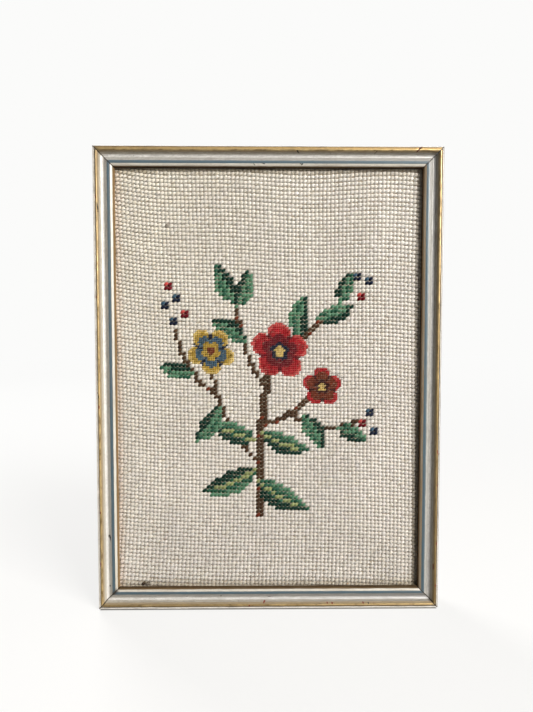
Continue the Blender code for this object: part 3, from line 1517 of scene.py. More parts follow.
@dataclass
class FlowerSpray:
    """A plain flower spray, worked out on the grid from stems, leaves, blossoms and berries."""

    stems: tuple[Stem, ...]
    leaves: tuple[Leaf, ...]
    blossoms: tuple[Blossom, ...]
    berries: tuple[Berry, ...]
    whole: dict[tuple[int, int], Yarn] = field(default_factory=dict)
    halves: dict[Cell, Yarn] = field(default_factory=dict)
    quarter: float = 0.25
    margin: int = 3

    def _cells_near(self, place: Cell, reach: int) -> Iterable[tuple[int, int]]:
        """Go through the cells that a leaf or a blossom may cover.

        Args:
            place: Its base or its centre.
            reach: How many cells away it may lie.

        Yields:
            Each cell.
        """
        left, low = int(place[0]) - reach, int(place[1]) - reach
        for i in range(left, left + 2 * reach + 1):
            for j in range(low, low + 2 * reach + 1):
                yield i, j

    def chart(self) -> None:
        """Fill the chart of whole stitches, then that of half-size ones."""
        for motif in (*self.stems, *self.berries):
            self.whole.update(motif.cells())
        for leaf in self.leaves:
            for cell in self._cells_near(leaf.base, int(leaf.length) + self.margin):
                yarn = leaf.yarn(*cell)
                if yarn:
                    self.whole[cell] = yarn
        for blossom in self.blossoms:
            self._chart_blossom(blossom)

    def _chart_blossom(self, blossom: Blossom) -> None:
        """Chart one blossom in half-size stitches, four to a cell.

        Args:
            blossom: The blossom.
        """
        steps = (-self.quarter, self.quarter)
        for i, j in self._cells_near(blossom.centre, int(blossom.radius) + self.margin):
            corners = [(i + across, j + up) for across in steps for up in steps]
            yarns = [blossom.yarn(*corner) for corner in corners]
            if not any(yarns):
                continue
            under = self.whole.pop((i, j), Yarn.CREAM)
            for corner, yarn in zip(corners, yarns):
                self.halves[corner] = yarn or self.halves.get(corner, under)


@dataclass(frozen=True)
class WoolFinish:
    """Worked wool: each stitch in its own yarn colour, with fibres drawn along the slant, and painted shade
    towards each stitch's feet.
    """

    slant: float
    fibre_stretch: Triple = (700.0, 5200.0, 5200.0)
    fibre_shade: float = 0.22
    stain: Colour = linear(246, 221, 208)
    stain_rise: Triple = (-80.0 * MM, -84.5 * MM, 0.4)
    # Painted shade at the stitches' feet, in the gaps between them.
    foot: Colour = linear(84, 72, 56)
    gap_shade_rise: Triple = (0.75, 0.1, 0.2)
    gap_shade_mix: float = 0.55
    dust_scale: float = 22.0
    dust_amount: float = 0.02
    roughness: float = 0.92
    fuzz: float = 1.0
    sheen: float = 0.02
    shine: float = 0.1
    see_into: float = 1.0
    see_depth: float = 0.7 * MM
    see_colour: Triple = (1.0, 0.95, 0.9)
    relief_strength: float = 0.5
    relief_height: float = 0.12 * MM

    def material(self) -> Material:
        """Build the wool.

        Returns:
            The material, which reads the yarn colour stored on each stitch.
        """
        material, wires, shader = new_material("wool_yarn")
        yarn = wires.attribute("yarn", "Color")
        place = wires.add("ShaderNodeTexCoord").outputs["Object"]
        turn = {"Vector": place, "Rotation": (0.0, self.slant, 0.0)}
        turned = wires.add("ShaderNodeMapping", turn).outputs[0]
        fibres = wires.grain(turned, self.fibre_stretch, 2.0)
        shade = wires.blend(self.fibre_shade, yarn, (0.0, 0.0, 0.0, 1.0))
        colour = wires.blend(fibres["Tone"], shade, yarn)
        stain = wires.rise(wires.parts(place)["X"], *self.stain_rise)
        colour = wires.blend(stain, colour, self.stain, "MULTIPLY")
        # Painted shade: each stitch darkens towards its feet, low on the canvas.
        foot = wires.rise(wires.attribute("loft"), *self.gap_shade_rise)
        colour = wires.blend(foot, colour, wires.blend(self.gap_shade_mix, colour, self.foot))
        wires.feed(shader, {
            "Base Color": wires.dusted(colour, place, self.dust_scale, self.dust_amount),
            "Roughness": self.roughness,
            "Diffuse Roughness": self.fuzz,
            "Sheen Weight": self.sheen,
            "Specular IOR Level": self.shine,
            "Subsurface Weight": self.see_into,
            "Subsurface Radius": self.see_colour,
            "Subsurface Scale": self.see_depth,
        })
        wires.relief(shader, fibres["Height"], self.relief_strength, self.relief_height)
        return material


@dataclass(frozen=True)
class CanvasFinish:
    """Stiff open canvas of paired threads, which shows only deep between the stitches. Its thread and holes
    are darkened, partly as painted shade in those deep gaps.
    """

    thread: Colour = linear(192, 182, 162)
    # The holes' dark is painted shade where the canvas is open.
    hole: Colour = linear(140, 129, 110)
    hole_rise: Pair = (0.38, 0.46)
    fibre_stretch: Triple = (9.0, 9.0, 1.0)
    fibre_share: float = 0.35
    dust_scale: float = 0.4
    dust_amount: float = 0.3
    roughness: float = 0.95
    relief_strength: float = 0.8
    relief_height: float = 0.2 * MM

    def material(self) -> Material:
        """Build the canvas.

        Returns:
            The material, which reads the count of stitches as its UV map.
        """
        material, wires, shader = new_material("canvas_threads")
        place = wires.add("ShaderNodeUVMap", uv_map="count").outputs["UV"]
        split = wires.parts(place)
        cycles = [wires.maths("PINGPONG", split[axis], 0.5) for axis in (0, 1)]
        open_here = wires.greater(*(wires.rise(cycle, *self.hole_rise) for cycle in cycles))
        fibres = wires.grain(place, self.fibre_stretch, 4.0)
        thread = wires.blend(wires.times(fibres["Tone"], self.fibre_share), self.thread, self.hole)
        colour = wires.blend(open_here, thread, self.hole)
        colour = wires.dusted(colour, place, self.dust_scale, self.dust_amount)
        wires.feed(shader, {"Base Color": colour, "Roughness": self.roughness})
        height = wires.maths("SUBTRACT", fibres["Height"], open_here)
        wires.relief(shader, height, self.relief_strength, self.relief_height)
        return material


@dataclass(frozen=True)
class BoardFinish:
    """Plain brown board, a little mottled and fibrous."""

    board: Colour = linear(150, 122, 90)
    fleck: Colour = linear(104, 80, 56)
    fibre_stretch: Triple = (900.0, 900.0, 240.0)
    fibre_share: float = 0.4
    mottle_stretch: Triple = (30.0, 30.0, 24.0)
    mottle_share: float = 0.2
    dust_scale: float = 30.0
    dust_amount: float = 0.3
    roughness: float = 0.88
    relief_strength: float = 0.4
    relief_height: float = 0.1 * MM

    def material(self) -> Material:
        """Build the board's finish.

        Returns:
            The material, on object coordinates.
        """
        material, wires, shader = new_material("brown_board")
        place = wires.add("ShaderNodeTexCoord").outputs["Object"]
        fibres = wires.grain(place, self.fibre_stretch, 5.0)
        mottle = wires.grain(place, self.mottle_stretch)
        colour = wires.blend(wires.times(fibres["Tone"], self.fibre_share), self.board, self.fleck)
        colour = wires.blend(wires.times(mottle["Tone"], self.mottle_share), colour, self.fleck)
        colour = wires.dusted(colour, place, self.dust_scale, self.dust_amount)
        wires.feed(shader, {"Base Color": colour, "Roughness": self.roughness})
        wires.relief(shader, fibres["Height"], self.relief_strength, self.relief_height)
        return material


class SolidFront:
    """The front of the stitched canvas's solid, read by looking straight back at it."""

    stand_off: float = 10.0 * MM

    def __init__(self, solid: Object) -> None:
        """Prepare the solid for reading.

        Args:
            solid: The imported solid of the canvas.
        """
        points = [vertex.co.copy() for vertex in solid.data.vertices]
        faces = [tuple(polygon.vertices) for polygon in solid.data.polygons]
        self._tree = BVHTree.FromPolygons(points, faces)
        self._start = min(point.y for point in points) - self.stand_off

    def depth(self, across: float, height: float) -> float:
        """How far along Y the front is at a place."""
        return self._tree.ray_cast(Vector((across, self._start, height)), Vector((0.0, 1.0, 0.0)))[0].y


@dataclass
class CanvasSheet:
    """The canvas under the wool: one thin sheet on its solid's form."""

    size: OuterSize
    grid: StitchGrid
    front: SolidFront
    finish: CanvasFinish
    piece_gap: float = 0.3 * MM
    wool_height: float = 1.45 * MM
    thickness: float = 0.5 * MM
    reading_inset: float = 0.05 * MM
    cells_across: int = 60
    cells_up: int = 82

    @property
    def flat(self) -> Pair:
        """The size that the canvas was cut to."""
        inset = 2.0 * (self.grid.profile.rebate_inset + self.piece_gap)
        return self.size.width - inset, self.size.height - inset

    def build(self) -> Object:
        """Make the sheet.

        Returns:
            The canvas, with its thickness in its mesh.
        """
        width, height = self.flat
        across_limit, up_limit = width / 2.0 - self.reading_inset, height / 2.0 - self.reading_inset
        middle = self.size.middle
        builder = bmesh.new()
        bmesh.ops.create_grid(builder, x_segments=self.cells_across, y_segments=self.cells_up, size=0.5)
        for vertex in builder.verts:
            across, up = vertex.co.x * width, vertex.co.y * height
            read_across = max(-across_limit, min(across_limit, across))
            read_up = max(-up_limit, min(up_limit, up))
            depth = self.front.depth(read_across, middle + read_up) + self.wool_height
            vertex.co = (across, depth, middle + up)
        mesh = bpy.data.meshes.new("needlepoint_canvas")
        builder.to_mesh(mesh)
        builder.free()
        layer = mesh.uv_layers.new(name="count")
        for loop in mesh.loops:
            point = mesh.vertices[loop.vertex_index].co
            columns, rows = self.grid.count(np.array(point.x), np.array(point.z - middle))
            layer.data[loop.index].uv = (float(columns), float(rows))
        mesh.shade_smooth()
        mesh.materials.append(self.finish.material())
        canvas = linked("needlepoint_canvas", mesh)
        solidify = canvas.modifiers.new("thickness", "SOLIDIFY")
        solidify.thickness = self.thickness
        solidify.offset = -1.0
        made = evaluated_copy(canvas, "needlepoint_canvas")
        LOG.info("%s: %d faces", made.name, len(made.data.polygons))
        return made


@dataclass
class StitchTree:
    """Geometry Nodes that set one arch of yarn on each point of a mesh."""

    tree: Optional[NodeTree] = None
    inputs: dict[str, str] = field(default_factory=dict)

    def _take(self, kind: str, *labels: str) -> None:
        """Add inputs to the tree and keep their identifiers.

        Args:
            kind: The inputs' socket type.
            labels: Their names.
        """
        for label in labels:
            socket = self.tree.interface.new_socket(label, in_out="INPUT", socket_type=kind)
            self.inputs[label] = socket.identifier

    def build(self) -> None:
        """Build the tree."""
        self.tree = bpy.data.node_groups.new("set_stitches", "GeometryNodeTree")
        self._take("NodeSocketGeometry", "Points")
        self._take("NodeSocketFloat", "Reach", "Width", "Height", "Loft", "Sink", "Slant", "Scatter")
        self._take("NodeSocketFloat", "End Share", "Fullness")
        self._take("NodeSocketInt", "Sides", "Steps", "Seed")
        self._take("NodeSocketMaterial", "Yarn")
        self.tree.interface.new_socket("Stitches", in_out="OUTPUT", socket_type="NodeSocketGeometry")
        wires = Wiring(self.tree)
        taken = wires.add("NodeGroupInput").outputs
        placed = self._set_on_points(wires, taken, self._loop(wires, taken))
        real = wires.add("GeometryNodeRealizeInstances", {"Geometry": placed}).outputs[0]
        dressed = wires.add("GeometryNodeSetMaterial", {"Geometry": real, "Material": taken["Yarn"]})
        wires.add("NodeGroupOutput", {"Stitches": dressed.outputs[0]})

    def _loop(self, wires: Wiring, taken: Any) -> Socket:
        """Make the arch itself, along X with its crest towards Z.

        Args:
            wires: The tree's wires.
            taken: The sockets of the tree's inputs.

        Returns:
            The arch's socket.
        """
        half = wires.times(taken["Reach"], 0.5)
        ends = []
        for sign in (-1.0, 1.0):
            place = {"X": wires.times(half, sign), "Z": wires.times(taken["Sink"], -1.0)}
            ends.append(wires.add("ShaderNodeCombineXYZ", place).outputs[0])
        crest = wires.maths("MULTIPLY_ADD", taken["Loft"], 2.0, taken["Sink"])
        middle = wires.add("ShaderNodeCombineXYZ", {"Z": crest}).outputs[0]
        route = {"Resolution": taken["Steps"], "Start": ends[0], "Middle": middle, "End": ends[1]}
        path = wires.add("GeometryNodeCurveQuadraticBezier", route).outputs[0]
        share = wires.add("GeometryNodeSplineParameter").outputs["Factor"]
        inner = wires.maths("MULTIPLY_ADD", taken["End Share"], -2.0, 1.0)
        phase = wires.maths("MULTIPLY_ADD", share, inner, taken["End Share"])
        arch = wires.maths("SINE", wires.times(phase, math.pi))
        girth = wires.maths("POWER", arch, taken["Fullness"])
        shaped = wires.add("GeometryNodeSetCurveRadius", {"Curve": path, "Radius": girth}).outputs[0]
        level = wires.add("GeometryNodeSetCurveNormal", {"Curve": shaped}, mode="Z_UP").outputs[0]
        ring = wires.add("GeometryNodeCurvePrimitiveCircle", {"Resolution": taken["Sides"], "Radius": 0.5})
        flatten = wires.add("ShaderNodeCombineXYZ", {"X": taken["Width"], "Y": taken["Height"], "Z": 1.0})
        oval = wires.add("GeometryNodeTransform", {"Geometry": ring.outputs[0], "Scale": flatten.outputs[0]})
        tube = {"Curve": level, "Profile Curve": oval.outputs[0], "Fill Caps": True}
        tube = wires.add("GeometryNodeCurveToMesh", tube).outputs[0]
        smooth = wires.add("GeometryNodeSetShadeSmooth", {"Geometry": tube}).outputs[0]
        height = wires.parts(wires.add("GeometryNodeInputPosition").outputs[0])["Z"]
        top = wires.maths("MULTIPLY_ADD", taken["Height"], 0.5, taken["Loft"])
        share_up = wires.maths("DIVIDE", height, top, clamp=True)
        kept = {"Geometry": smooth, "Name": "loft", "Value": share_up}
        return wires.add("GeometryNodeStoreNamedAttribute", kept).outputs[0]

    def _set_on_points(self, wires: Wiring, taken: Any, loop: Socket) -> Socket:
        """Set one turned and scaled copy of the arch on each point.

        Args:
            wires: The tree's wires.
            taken: The sockets of the tree's inputs.
            loop: The arch.

        Returns:
            The copies' socket.
        """
        stray = wires.add("FunctionNodeRandomValue", data_type="FLOAT")
        least, most = [index for index, socket in enumerate(stray.inputs) if socket.type == "VALUE"][:2]
        scatter = taken["Scatter"]
        wires.feed(stray, {least: wires.times(scatter, -1.0), most: scatter, "Seed": taken["Seed"]})
        strayed = next(socket for socket in stray.outputs if socket.type == "VALUE")
        turn = wires.times(wires.maths("ADD", taken["Slant"], strayed), -1.0)
        facing = wires.add("ShaderNodeCombineXYZ", {"X": math.pi / 2.0, "Y": turn}).outputs[0]
        turned = wires.add("FunctionNodeEulerToRotation", {0: facing}).outputs[0]
        girth = wires.add("GeometryNodeInputNamedAttribute", {"Name": "girth"}, data_type="FLOAT").outputs[0]
        copies = {"Points": taken["Points"], "Instance": loop, "Rotation": turned, "Scale": girth}
        return wires.add("GeometryNodeInstanceOnPoints", copies).outputs[0]


@dataclass(frozen=True)
class Speck:
    """A stained or bleached spot on the wool, placed on the frame's face."""

    across: float
    up: float
    radius: float
    colour: Colour
    share: float
    reach: Pair = (1.3, 0.6)

    def tint(self, across: Array, height: Array, colours: Array) -> Array:
        """Colour the stitches that lie in the spot.

        Args:
            across: Where each stitch is, across.
            height: Where each stitch is, up from the floor.
            colours: The stitches' colours.

        Returns:
            The stitches' new colours.
        """
        away = np.hypot(across - self.across, height - self.up)
        outer, inner = self.reach
        share = self.share * smooth_step(outer * self.radius, inner * self.radius, away)[:, None]
        return colours * (1.0 - share) + np.array(self.colour) * share


@dataclass
class StitchedWool:
    """All the wool on the canvas, in a few pieces.

    Cells are cells of noise to the metre, to the row or to the run of wool, and the last of
    their numbers says which layer is read. Loop sizes are shares of the stitch's own pitch.
    """

    size: OuterSize
    grid: StitchGrid
    front: SolidFront
    sheet: CanvasSheet
    finish: WoolFinish
    spray: FlowerSpray
    slant: float
    seed: int = 17
    ground_bands: int = 4
    spare_rows: int = 4
    under_lip: float = 1.5 * MM
    loop_reach: float = 1.1
    loop_loft: float = 0.20
    loop_sink: float = 0.12
    loop_end: float = 0.1
    loop_fullness: float = 0.5
    whole_girth: Pair = (0.87, 0.42)
    half_girth: Pair = (0.98, 0.5)
    # Painted shade on the wool beside the rails.
    grime_and_shade: float = 0.35
    shade_below: float = 0.5
    shade_fall: Pair = (0.6, -0.6)
    shade_reach: float = 4.0 * MM
    shade_tint: Triple = (0.9, 1.0, 1.25)
    cloudiness: float = 0.07
    cloud_cells: Triple = (38.0, 26.0, 5.2)
    streak_cells: Triple = (190.0, 12.0, 1.7)
    streakiness: float = 0.7
    duller_below: float = 0.04
    duller_fall: Pair = (0.2, -1.0)
    duller_right: float = 0.03
    cooler: float = 0.018
    cooler_below: float = 0.35
    cooler_bow: float = 0.5
    greener: float = 0.006
    greener_above: float = 0.8
    place_scatter: float = 0.035
    girth_scatter: float = 0.05
    tone_scatter: float = 0.035
    warmth_share: float = 0.3
    fine_liveliness: float = 5.0
    run_scatter: float = 0.02
    run_length: Pair = (17.0, 9.0)
    run_length_cells: Pair = (0.7, 3.1)
    run_row_step: float = 13.0
    run_cells: Triple = (1.37, 0.61, 8.3)
    turn_scatter: float = math.radians(5.0)
    specks: tuple[Speck, ...] = (
        Speck(-56.7 * MM, 213.1 * MM, 1.3 * MM, linear(84, 70, 54), 0.6),
        Speck(66.5 * MM, 203.9 * MM, 1.2 * MM, linear(96, 84, 68), 0.5),
        Speck(-70.6 * MM, 10.8 * MM, 1.9 * MM, linear(58, 42, 26), 0.95),
        Speck(26.5 * MM, 12.2 * MM, 1.2 * MM, linear(255, 252, 244), 0.9),
        Speck(-20.0 * MM, 164.0 * MM, 1.1 * MM, linear(120, 104, 84), 0.4),
    )
    tree: StitchTree = field(default_factory=StitchTree)
    pieces: list[Object] = field(default_factory=list)

    def _edge_shade(self, across: Array, up: Array) -> Array:
        """Say how much of its light the wool keeps beside the frame, where shade is painted: along the right
        edge, more so lower down, and along the top and bottom edges.

        Args:
            across: Metres across from the opening's middle.
            up: Metres up from it.

        Returns:
            Shares of the light.
        """
        lower = smooth_step(*self.shade_fall, up / self.grid.half_height)
        beside = smooth_step(self.shade_reach, 0.0, self.grid.half_width - across)
        over = smooth_step(self.shade_reach, 0.0, self.grid.half_height - np.abs(up))
        kept = 1.0 - self.grime_and_shade * (1.0 + self.shade_below * lower) * beside
        return kept * (1.0 - self.grime_and_shade * over)

    def _worn_tone(self, across: Array, up: Array) -> Array:
        """Work out the broad clouds and upright streaks of old wool.

        Args:
            across: Metres across from the opening's middle.
            up: Metres up from it.

        Returns:
            Tones about one.
        """
        layers = []
        for cells_across, cells_up, layer in (self.cloud_cells, self.streak_cells):
            layers.append(noise_at(across * cells_across, up * cells_up, layer))
        clouds = layers[0] + self.streakiness * layers[1]
        lower = smooth_step(*self.duller_fall, up / self.grid.half_height)
        right = self.duller_right * (1.0 + across / self.grid.half_width)
        return 1.0 + self.cloudiness * clouds - self.duller_below * lower - right

    def _run_tone(self, counts: Array) -> Array:
        """Change the tone a little from one needleful of wool to the next, along the rows.

        Args:
            counts: Column and row of each stitch.

        Returns:
            Changes of tone about nought.
        """
        column, row = counts[:, 0], counts[:, 1]
        length, scatter = self.run_length
        row_cells, layer = self.run_length_cells
        length = length + scatter * noise_at(row * row_cells, layer, 0.0)
        run = np.floor((column + self.run_row_step * row) / length)
        run_cells, row_cells, layer = self.run_cells
        return 2.0 * self.run_scatter * noise_at(run * run_cells, row * row_cells, layer)

    def _aged(self, colours: Array, across: Array, up: Array) -> Array:
        """Age the wool by where it is on the canvas, and paint the rails' shade on it near the edges.

        Args:
            colours: The stitches' colours, fresh from the skein.
            across: Metres across from the opening's middle.
            up: Metres up from it.

        Returns:
            The stitches' colours, with the spots on them.
        """
        # Painted shade beside the rails, browner where it is deeper.
        colours[:, :3] *= np.power(self._edge_shade(across, up)[:, None], self.shade_tint)
        colours[:, :3] *= self._worn_tone(across, up)[:, None]
        x, y = across / self.grid.half_width, up / self.grid.half_height
        cool = x * (1.0 + y) - self.cooler_below * y - self.cooler_bow * x * x
        colours[:, 2] *= 1.0 + self.cooler * cool
        colours[:, 0] *= 1.0 - self.greener * (1.0 + x) * smooth_step(0.0, self.greener_above, y)
        for speck in self.specks:
            colours = speck.tint(across, self.size.middle + up, colours)
        return colours

    def _points(self, cells: dict[Cell, Yarn], share: float, rng: np.random.Generator) -> Mesh:
        """Make the points that stitches are set on, with their colours and girths.

        Args:
            cells: Yarn by column and row.
            share: The stitch's size as a share of a whole one.
            rng: The seeded source of unevenness.

        Returns:
            A mesh of loose points.
        """
        counts = np.array(sorted(cells), float)
        colours = np.array([cells[tuple(count)].value for count in counts])
        stray = rng.normal(0.0, self.place_scatter * share, counts.shape)
        across, up = self.grid.place(counts[:, 0] + stray[:, 0], counts[:, 1] + stray[:, 1])
        inside = np.abs(across) < self.grid.half_width + self.under_lip
        inside &= np.abs(up) < self.grid.half_height + self.under_lip
        across, up, colours, counts = across[inside], up[inside], colours[inside], counts[inside]
        lift, middle = self.sheet.wool_height, self.size.middle
        points = []
        for x, z in zip(across.tolist(), up.tolist()):
            points.append((x, self.front.depth(x, middle + z) + lift, middle + z))
        scatter = self.tone_scatter * (self.fine_liveliness if share < 1.0 else 1.0)
        tone = 1.0 + rng.normal(0.0, scatter, len(points)) + self._run_tone(counts)
        warmth = rng.normal(0.0, self.warmth_share * self.tone_scatter, len(points))
        colours[:, :3] *= tone[:, None]
        colours[:, 2] *= 1.0 - warmth
        colours = np.clip(self._aged(colours, across, up), 0.0, 1.0)
        girth = 1.0 + rng.normal(0.0, self.girth_scatter, len(points))
        mesh = bpy.data.meshes.new("stitch_points")
        mesh.from_pydata(points, [], [])
        layer = mesh.attributes.new("yarn", "FLOAT_COLOR", "POINT")
        layer.data.foreach_set("color", colours.astype(np.float32).ravel())
        layer = mesh.attributes.new("girth", "FLOAT", "POINT")
        layer.data.foreach_set("value", girth.astype(np.float32))
        return mesh

    def _work(self, name: str, cells: dict[Cell, Yarn], material: Material, seed: int,
              half_size: bool = False) -> None:
        """Work one piece's stitches.

        Args:
            name: The piece's name.
            cells: Yarn by column and row.
            material: The wool.
            seed: The seed of this piece's unevenness.
            half_size: Whether the stitches are worked at half the pitch.
        """
        share = 0.5 if half_size else 1.0
        mesh = self._points(cells, share, np.random.default_rng(seed))
        source = linked(f"{name}_points", mesh)
        setter = source.modifiers.new("stitches", "NODES")
        setter.node_group = self.tree.tree
        pitch = self.grid.pitch * share
        width, height = self.half_girth if half_size else self.whole_girth
        values = {
            "Reach": self.loop_reach * pitch, "Width": width * pitch, "Height": height * pitch,
            "Loft": self.loop_loft * pitch, "Sink": self.loop_sink * pitch,
            "End Share": self.loop_end, "Fullness": self.loop_fullness,
            "Slant": self.slant, "Scatter": self.turn_scatter, "Seed": seed,
            "Sides": 5 if half_size else 6, "Steps": 4 if half_size else 5, "Yarn": material,
        }
        for label, value in values.items():
            setter[self.tree.inputs[label]] = value
        made = evaluated_copy(source, name)
        self.pieces.append(made)
        LOG.info("%s: %d stitches, %d faces", name, len(mesh.vertices), len(made.data.polygons))

    def build(self) -> None:
        """Work the ground, then the stems and leaves, then the blossoms."""
        self.spray.chart()
        self.tree.build()
        material = self.finish.material()
        whole = {(float(i), float(j)): yarn for (i, j), yarn in self.spray.whole.items()}
        halves = self.spray.halves
        taken = {*whole, *((float(round(x)), float(round(y))) for x, y in halves)}
        columns = int(self.grid.columns_to_edge) + self.spare_rows
        rows = int(self.grid.rows_to_edge) + self.spare_rows
        edges = np.linspace(-rows, rows + 1, self.ground_bands + 1).astype(int)
        for band in range(self.ground_bands):
            cells = (
                (float(i), float(j))
                for i in range(-columns, columns + 1)
                for j in range(edges[band], edges[band + 1])
            )
            ground = {cell: Yarn.CREAM for cell in cells if cell not in taken}
            self._work(f"ground_stitches_{band + 1}", ground, material, self.seed + band)
        after = self.seed + self.ground_bands
        self._work("leaf_stitches", whole, material, after)
        self._work("blossom_stitches", halves, material, after + 1, half_size=True)


@dataclass(frozen=True)
class Lamp:
    """A soft square lamp: its width, its power in watts, its tint and where it hangs."""

    name: str
    width: float
    power: float
    tint: Colour
    place: Triple


@dataclass
class Studio:
    """Pale floor, soft light from the upper right, and the camera at the photograph's angle."""

    size: OuterSize
    lens: float = 25.94
    sensor: float = 36.0
    nearest_seen: float = 0.01
    eye: Triple = (-4.2 * MM, -289.8 * MM, 154.4 * MM)
    aim: Triple = (-1.2 * MM, 0.0, 141.3 * MM)
    floor_reach: float = 12.0
    floor_gap: float = 0.6 * MM
    floor_fade: Pair = (4.0, 0.3)
    floor_glow: float = 0.78
    floor_tones: tuple[Colour, Colour] = (linear(240, 239, 237), linear(246, 245, 244))
    floor_cloud: float = 3.0
    floor_roughness: float = 0.9
    floor_bounce: Colour = linear(124, 122, 119)
    painted_shadow_soft: Pair = (1.0 * MM, 0.5 * MM)
    painted_shadow_share: float = 0.75
    room_seen: Colour = linear(251, 251, 250)
    room_dim: Colour = linear(34, 34, 36)
    room_bright: Colour = linear(88, 88, 90)
    room_rise: Pair = (-0.7, 0.95)
    key_way: Triple = (0.62, -0.69, 0.38)
    key_distance: float = 1.4
    key_width: float = 0.72
    key_power: float = 33.5
    key_tint: Colour = linear(255, 252, 247)
    other_lamps: tuple[Lamp, ...] = (
        Lamp("fill_lamp", 1.0, 2.5, linear(246, 248, 255), (-0.5, -1.3, 0.2)),
        Lamp("back_lamp", 0.8, 26.0, linear(255, 252, 248), (-0.8, 1.2, 0.8)),
    )

    def _aimed(self, thing: Object, place: Vector, target: Vector) -> None:
        """Put a lamp or a camera somewhere and turn it to a target."""
        thing.location = place
        thing.rotation_euler = (target - place).to_track_quat("-Z", "Y").to_euler()

    def _hang(self, lamp: Lamp) -> None:
        """Hang a lamp, facing the middle of the frame.

        Args:
            lamp: The lamp.
        """
        light = bpy.data.lights.new(lamp.name, "AREA")
        light.shape = "SQUARE"
        light.size = lamp.width
        light.energy = lamp.power
        light.color = lamp.tint[:3]
        middle = Vector((0.0, 0.0, self.size.middle))
        self._aimed(linked(lamp.name, light), Vector(lamp.place), middle)

    def _floor_finish(self) -> Material:
        """Build the floor's finish: pale near the frame, with a painted shadow just under it, fading far
        away.

        Returns:
            The material.
        """
        material, wires, shader = new_material("pale_floor")
        place = wires.add("ShaderNodeTexCoord").outputs["Object"]
        cloud = wires.add("ShaderNodeTexNoise", {"Vector": place, "Scale": self.floor_cloud})
        camera_ray = wires.add("ShaderNodeLightPath").outputs["Is Camera Ray"]
        tone = wires.blend(cloud.outputs["Fac"], *self.floor_tones)
        tone = wires.blend(camera_ray, self.floor_bounce, tone)
        away = wires.add("ShaderNodeVectorMath", {0: place}, operation="LENGTH").outputs["Value"]
        fade = wires.rise(wires.maths("DIVIDE", 1.0, away), *self.floor_fade)
        lift = wires.maths("MULTIPLY_ADD", fade, 1.0 - self.floor_glow, self.floor_glow)
        spot = wires.parts(place)
        masks = []
        halves = (self.size.width / 2.0, self.size.depth / 2.0)
        for axis, half, soft in zip("XY", halves, self.painted_shadow_soft):
            masks.append(wires.rise(wires.maths("ABSOLUTE", spot[axis]), half, half - soft))
        under = wires.times(*masks)
        lift = wires.times(lift, wires.rest_of(under))
        # Painted shadow under the frame, for the camera only.
        shadowed = wires.times(wires.times(under, camera_ray), self.painted_shadow_share)
        colour = wires.blend(shadowed, tone, self.floor_bounce)
        wires.feed(shader, {"Base Color": colour, "Roughness": self.floor_roughness})
        glow = wires.add("ShaderNodeEmission", {"Color": self.room_seen}).outputs[0]
        shown = {"Fac": wires.times(lift, camera_ray), 1: shader.outputs[0], 2: glow}
        mixed = wires.add("ShaderNodeMixShader", shown)
        wires.feed(material.node_tree.nodes["Material Output"], {"Surface": mixed.outputs[0]})
        return material

    def _floor(self) -> None:
        """Lay a wide pale floor just under the frame."""
        builder = bmesh.new()
        bmesh.ops.create_grid(builder, x_segments=2, y_segments=2, size=self.floor_reach)
        mesh = bpy.data.meshes.new("studio_floor")
        builder.to_mesh(mesh)
        builder.free()
        mesh.materials.append(self._floor_finish())
        floor = linked("studio_floor", mesh)
        floor.location = (0.0, 0.0, -self.floor_gap)
        floor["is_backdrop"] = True

    def _world(self) -> None:
        """Make a pale room, brighter towards the window side."""
        world = bpy.data.worlds.new("studio_world")
        world.use_nodes = True
        wires = Wiring(world.node_tree)
        way = wires.add("ShaderNodeTexCoord").outputs["Generated"]
        towards = wires.add("ShaderNodeVectorMath", {0: way, 1: self.key_way}, operation="DOT_PRODUCT")
        share = wires.rise(towards.outputs["Value"], *self.room_rise)
        room = wires.blend(share, self.room_dim, self.room_bright)
        camera_ray = wires.add("ShaderNodeLightPath").outputs["Is Camera Ray"]
        seen = wires.blend(camera_ray, room, self.room_seen)
        wires.feed(world.node_tree.nodes["Background"], {"Color": seen, "Strength": 1.0})
        bpy.context.scene.world = world

    def build(self) -> None:
        """Set the floor, the room, the lamps and the camera."""
        self._floor()
        self._world()
        middle = Vector((0.0, 0.0, self.size.middle))
        key = middle + Vector(self.key_way).normalized() * self.key_distance
        self._hang(Lamp("key_lamp", self.key_width, self.key_power, self.key_tint, tuple(key)))
        for lamp in self.other_lamps:
            self._hang(lamp)
        camera = bpy.data.cameras.new("camera")
        camera.lens = self.lens
        camera.sensor_fit = "AUTO"
        camera.sensor_width = self.sensor
        camera.clip_start = self.nearest_seen
        holder = linked("camera", camera)
        self._aimed(holder, Vector(self.eye), Vector(self.aim))
        bpy.context.scene.camera = holder
        bpy.context.scene.view_settings.view_transform = "Standard"


def rail_wear() -> dict[Side, RailWear]:
    """Say how each rail differs from the others.

    Returns:
        Each rail's wear.
    """
    # Tan amounts are painted light and shade: shade on the right rail's inner bead, light on the left rail's
    # sight and the bottom rail's wall.
    return {
        # Edge strays move the painted edge shadow further off the front on the bottom, left and top rails.
        Side.BOTTOM: RailWear(
            dull_gold=(0.4, 0.25), silver_light_and_shade=(0.0, 1.0), tan_wear_and_side_light=0.1, wall_painted_light=0.28,
            sight_stray=0.28 * MM, edge_shadow_stray=0.3 * MM,
        ),
        Side.LEFT: RailWear(
            dull_gold=(0.8, -0.8), silver_light_and_shade=(0.1, -0.7), sight_painted_light=0.9,
            foot_stray=-0.5 * MM, edge_shadow_stray=0.45 * MM,
        ),
        # The top rail's gold carries a painted highlight.
        Side.TOP: RailWear(
            dull_gold=(-0.7, 0.35), silver_light_and_shade=(0.5, 0.0), polish_and_highlight=0.9, tan_wear_and_side_light=0.05,
            line_stray=-0.15 * MM, sight_stray=-0.1 * MM, foot_stray=0.95 * MM, edge_shadow_stray=0.45 * MM,
        ),
        Side.RIGHT: RailWear(
            dull_gold=(0.6, -0.1), silver_light_and_shade=(-0.4, 0.5), tan_wear_and_side_light=0.75, line_stray=0.4 * MM,
        ),
    }


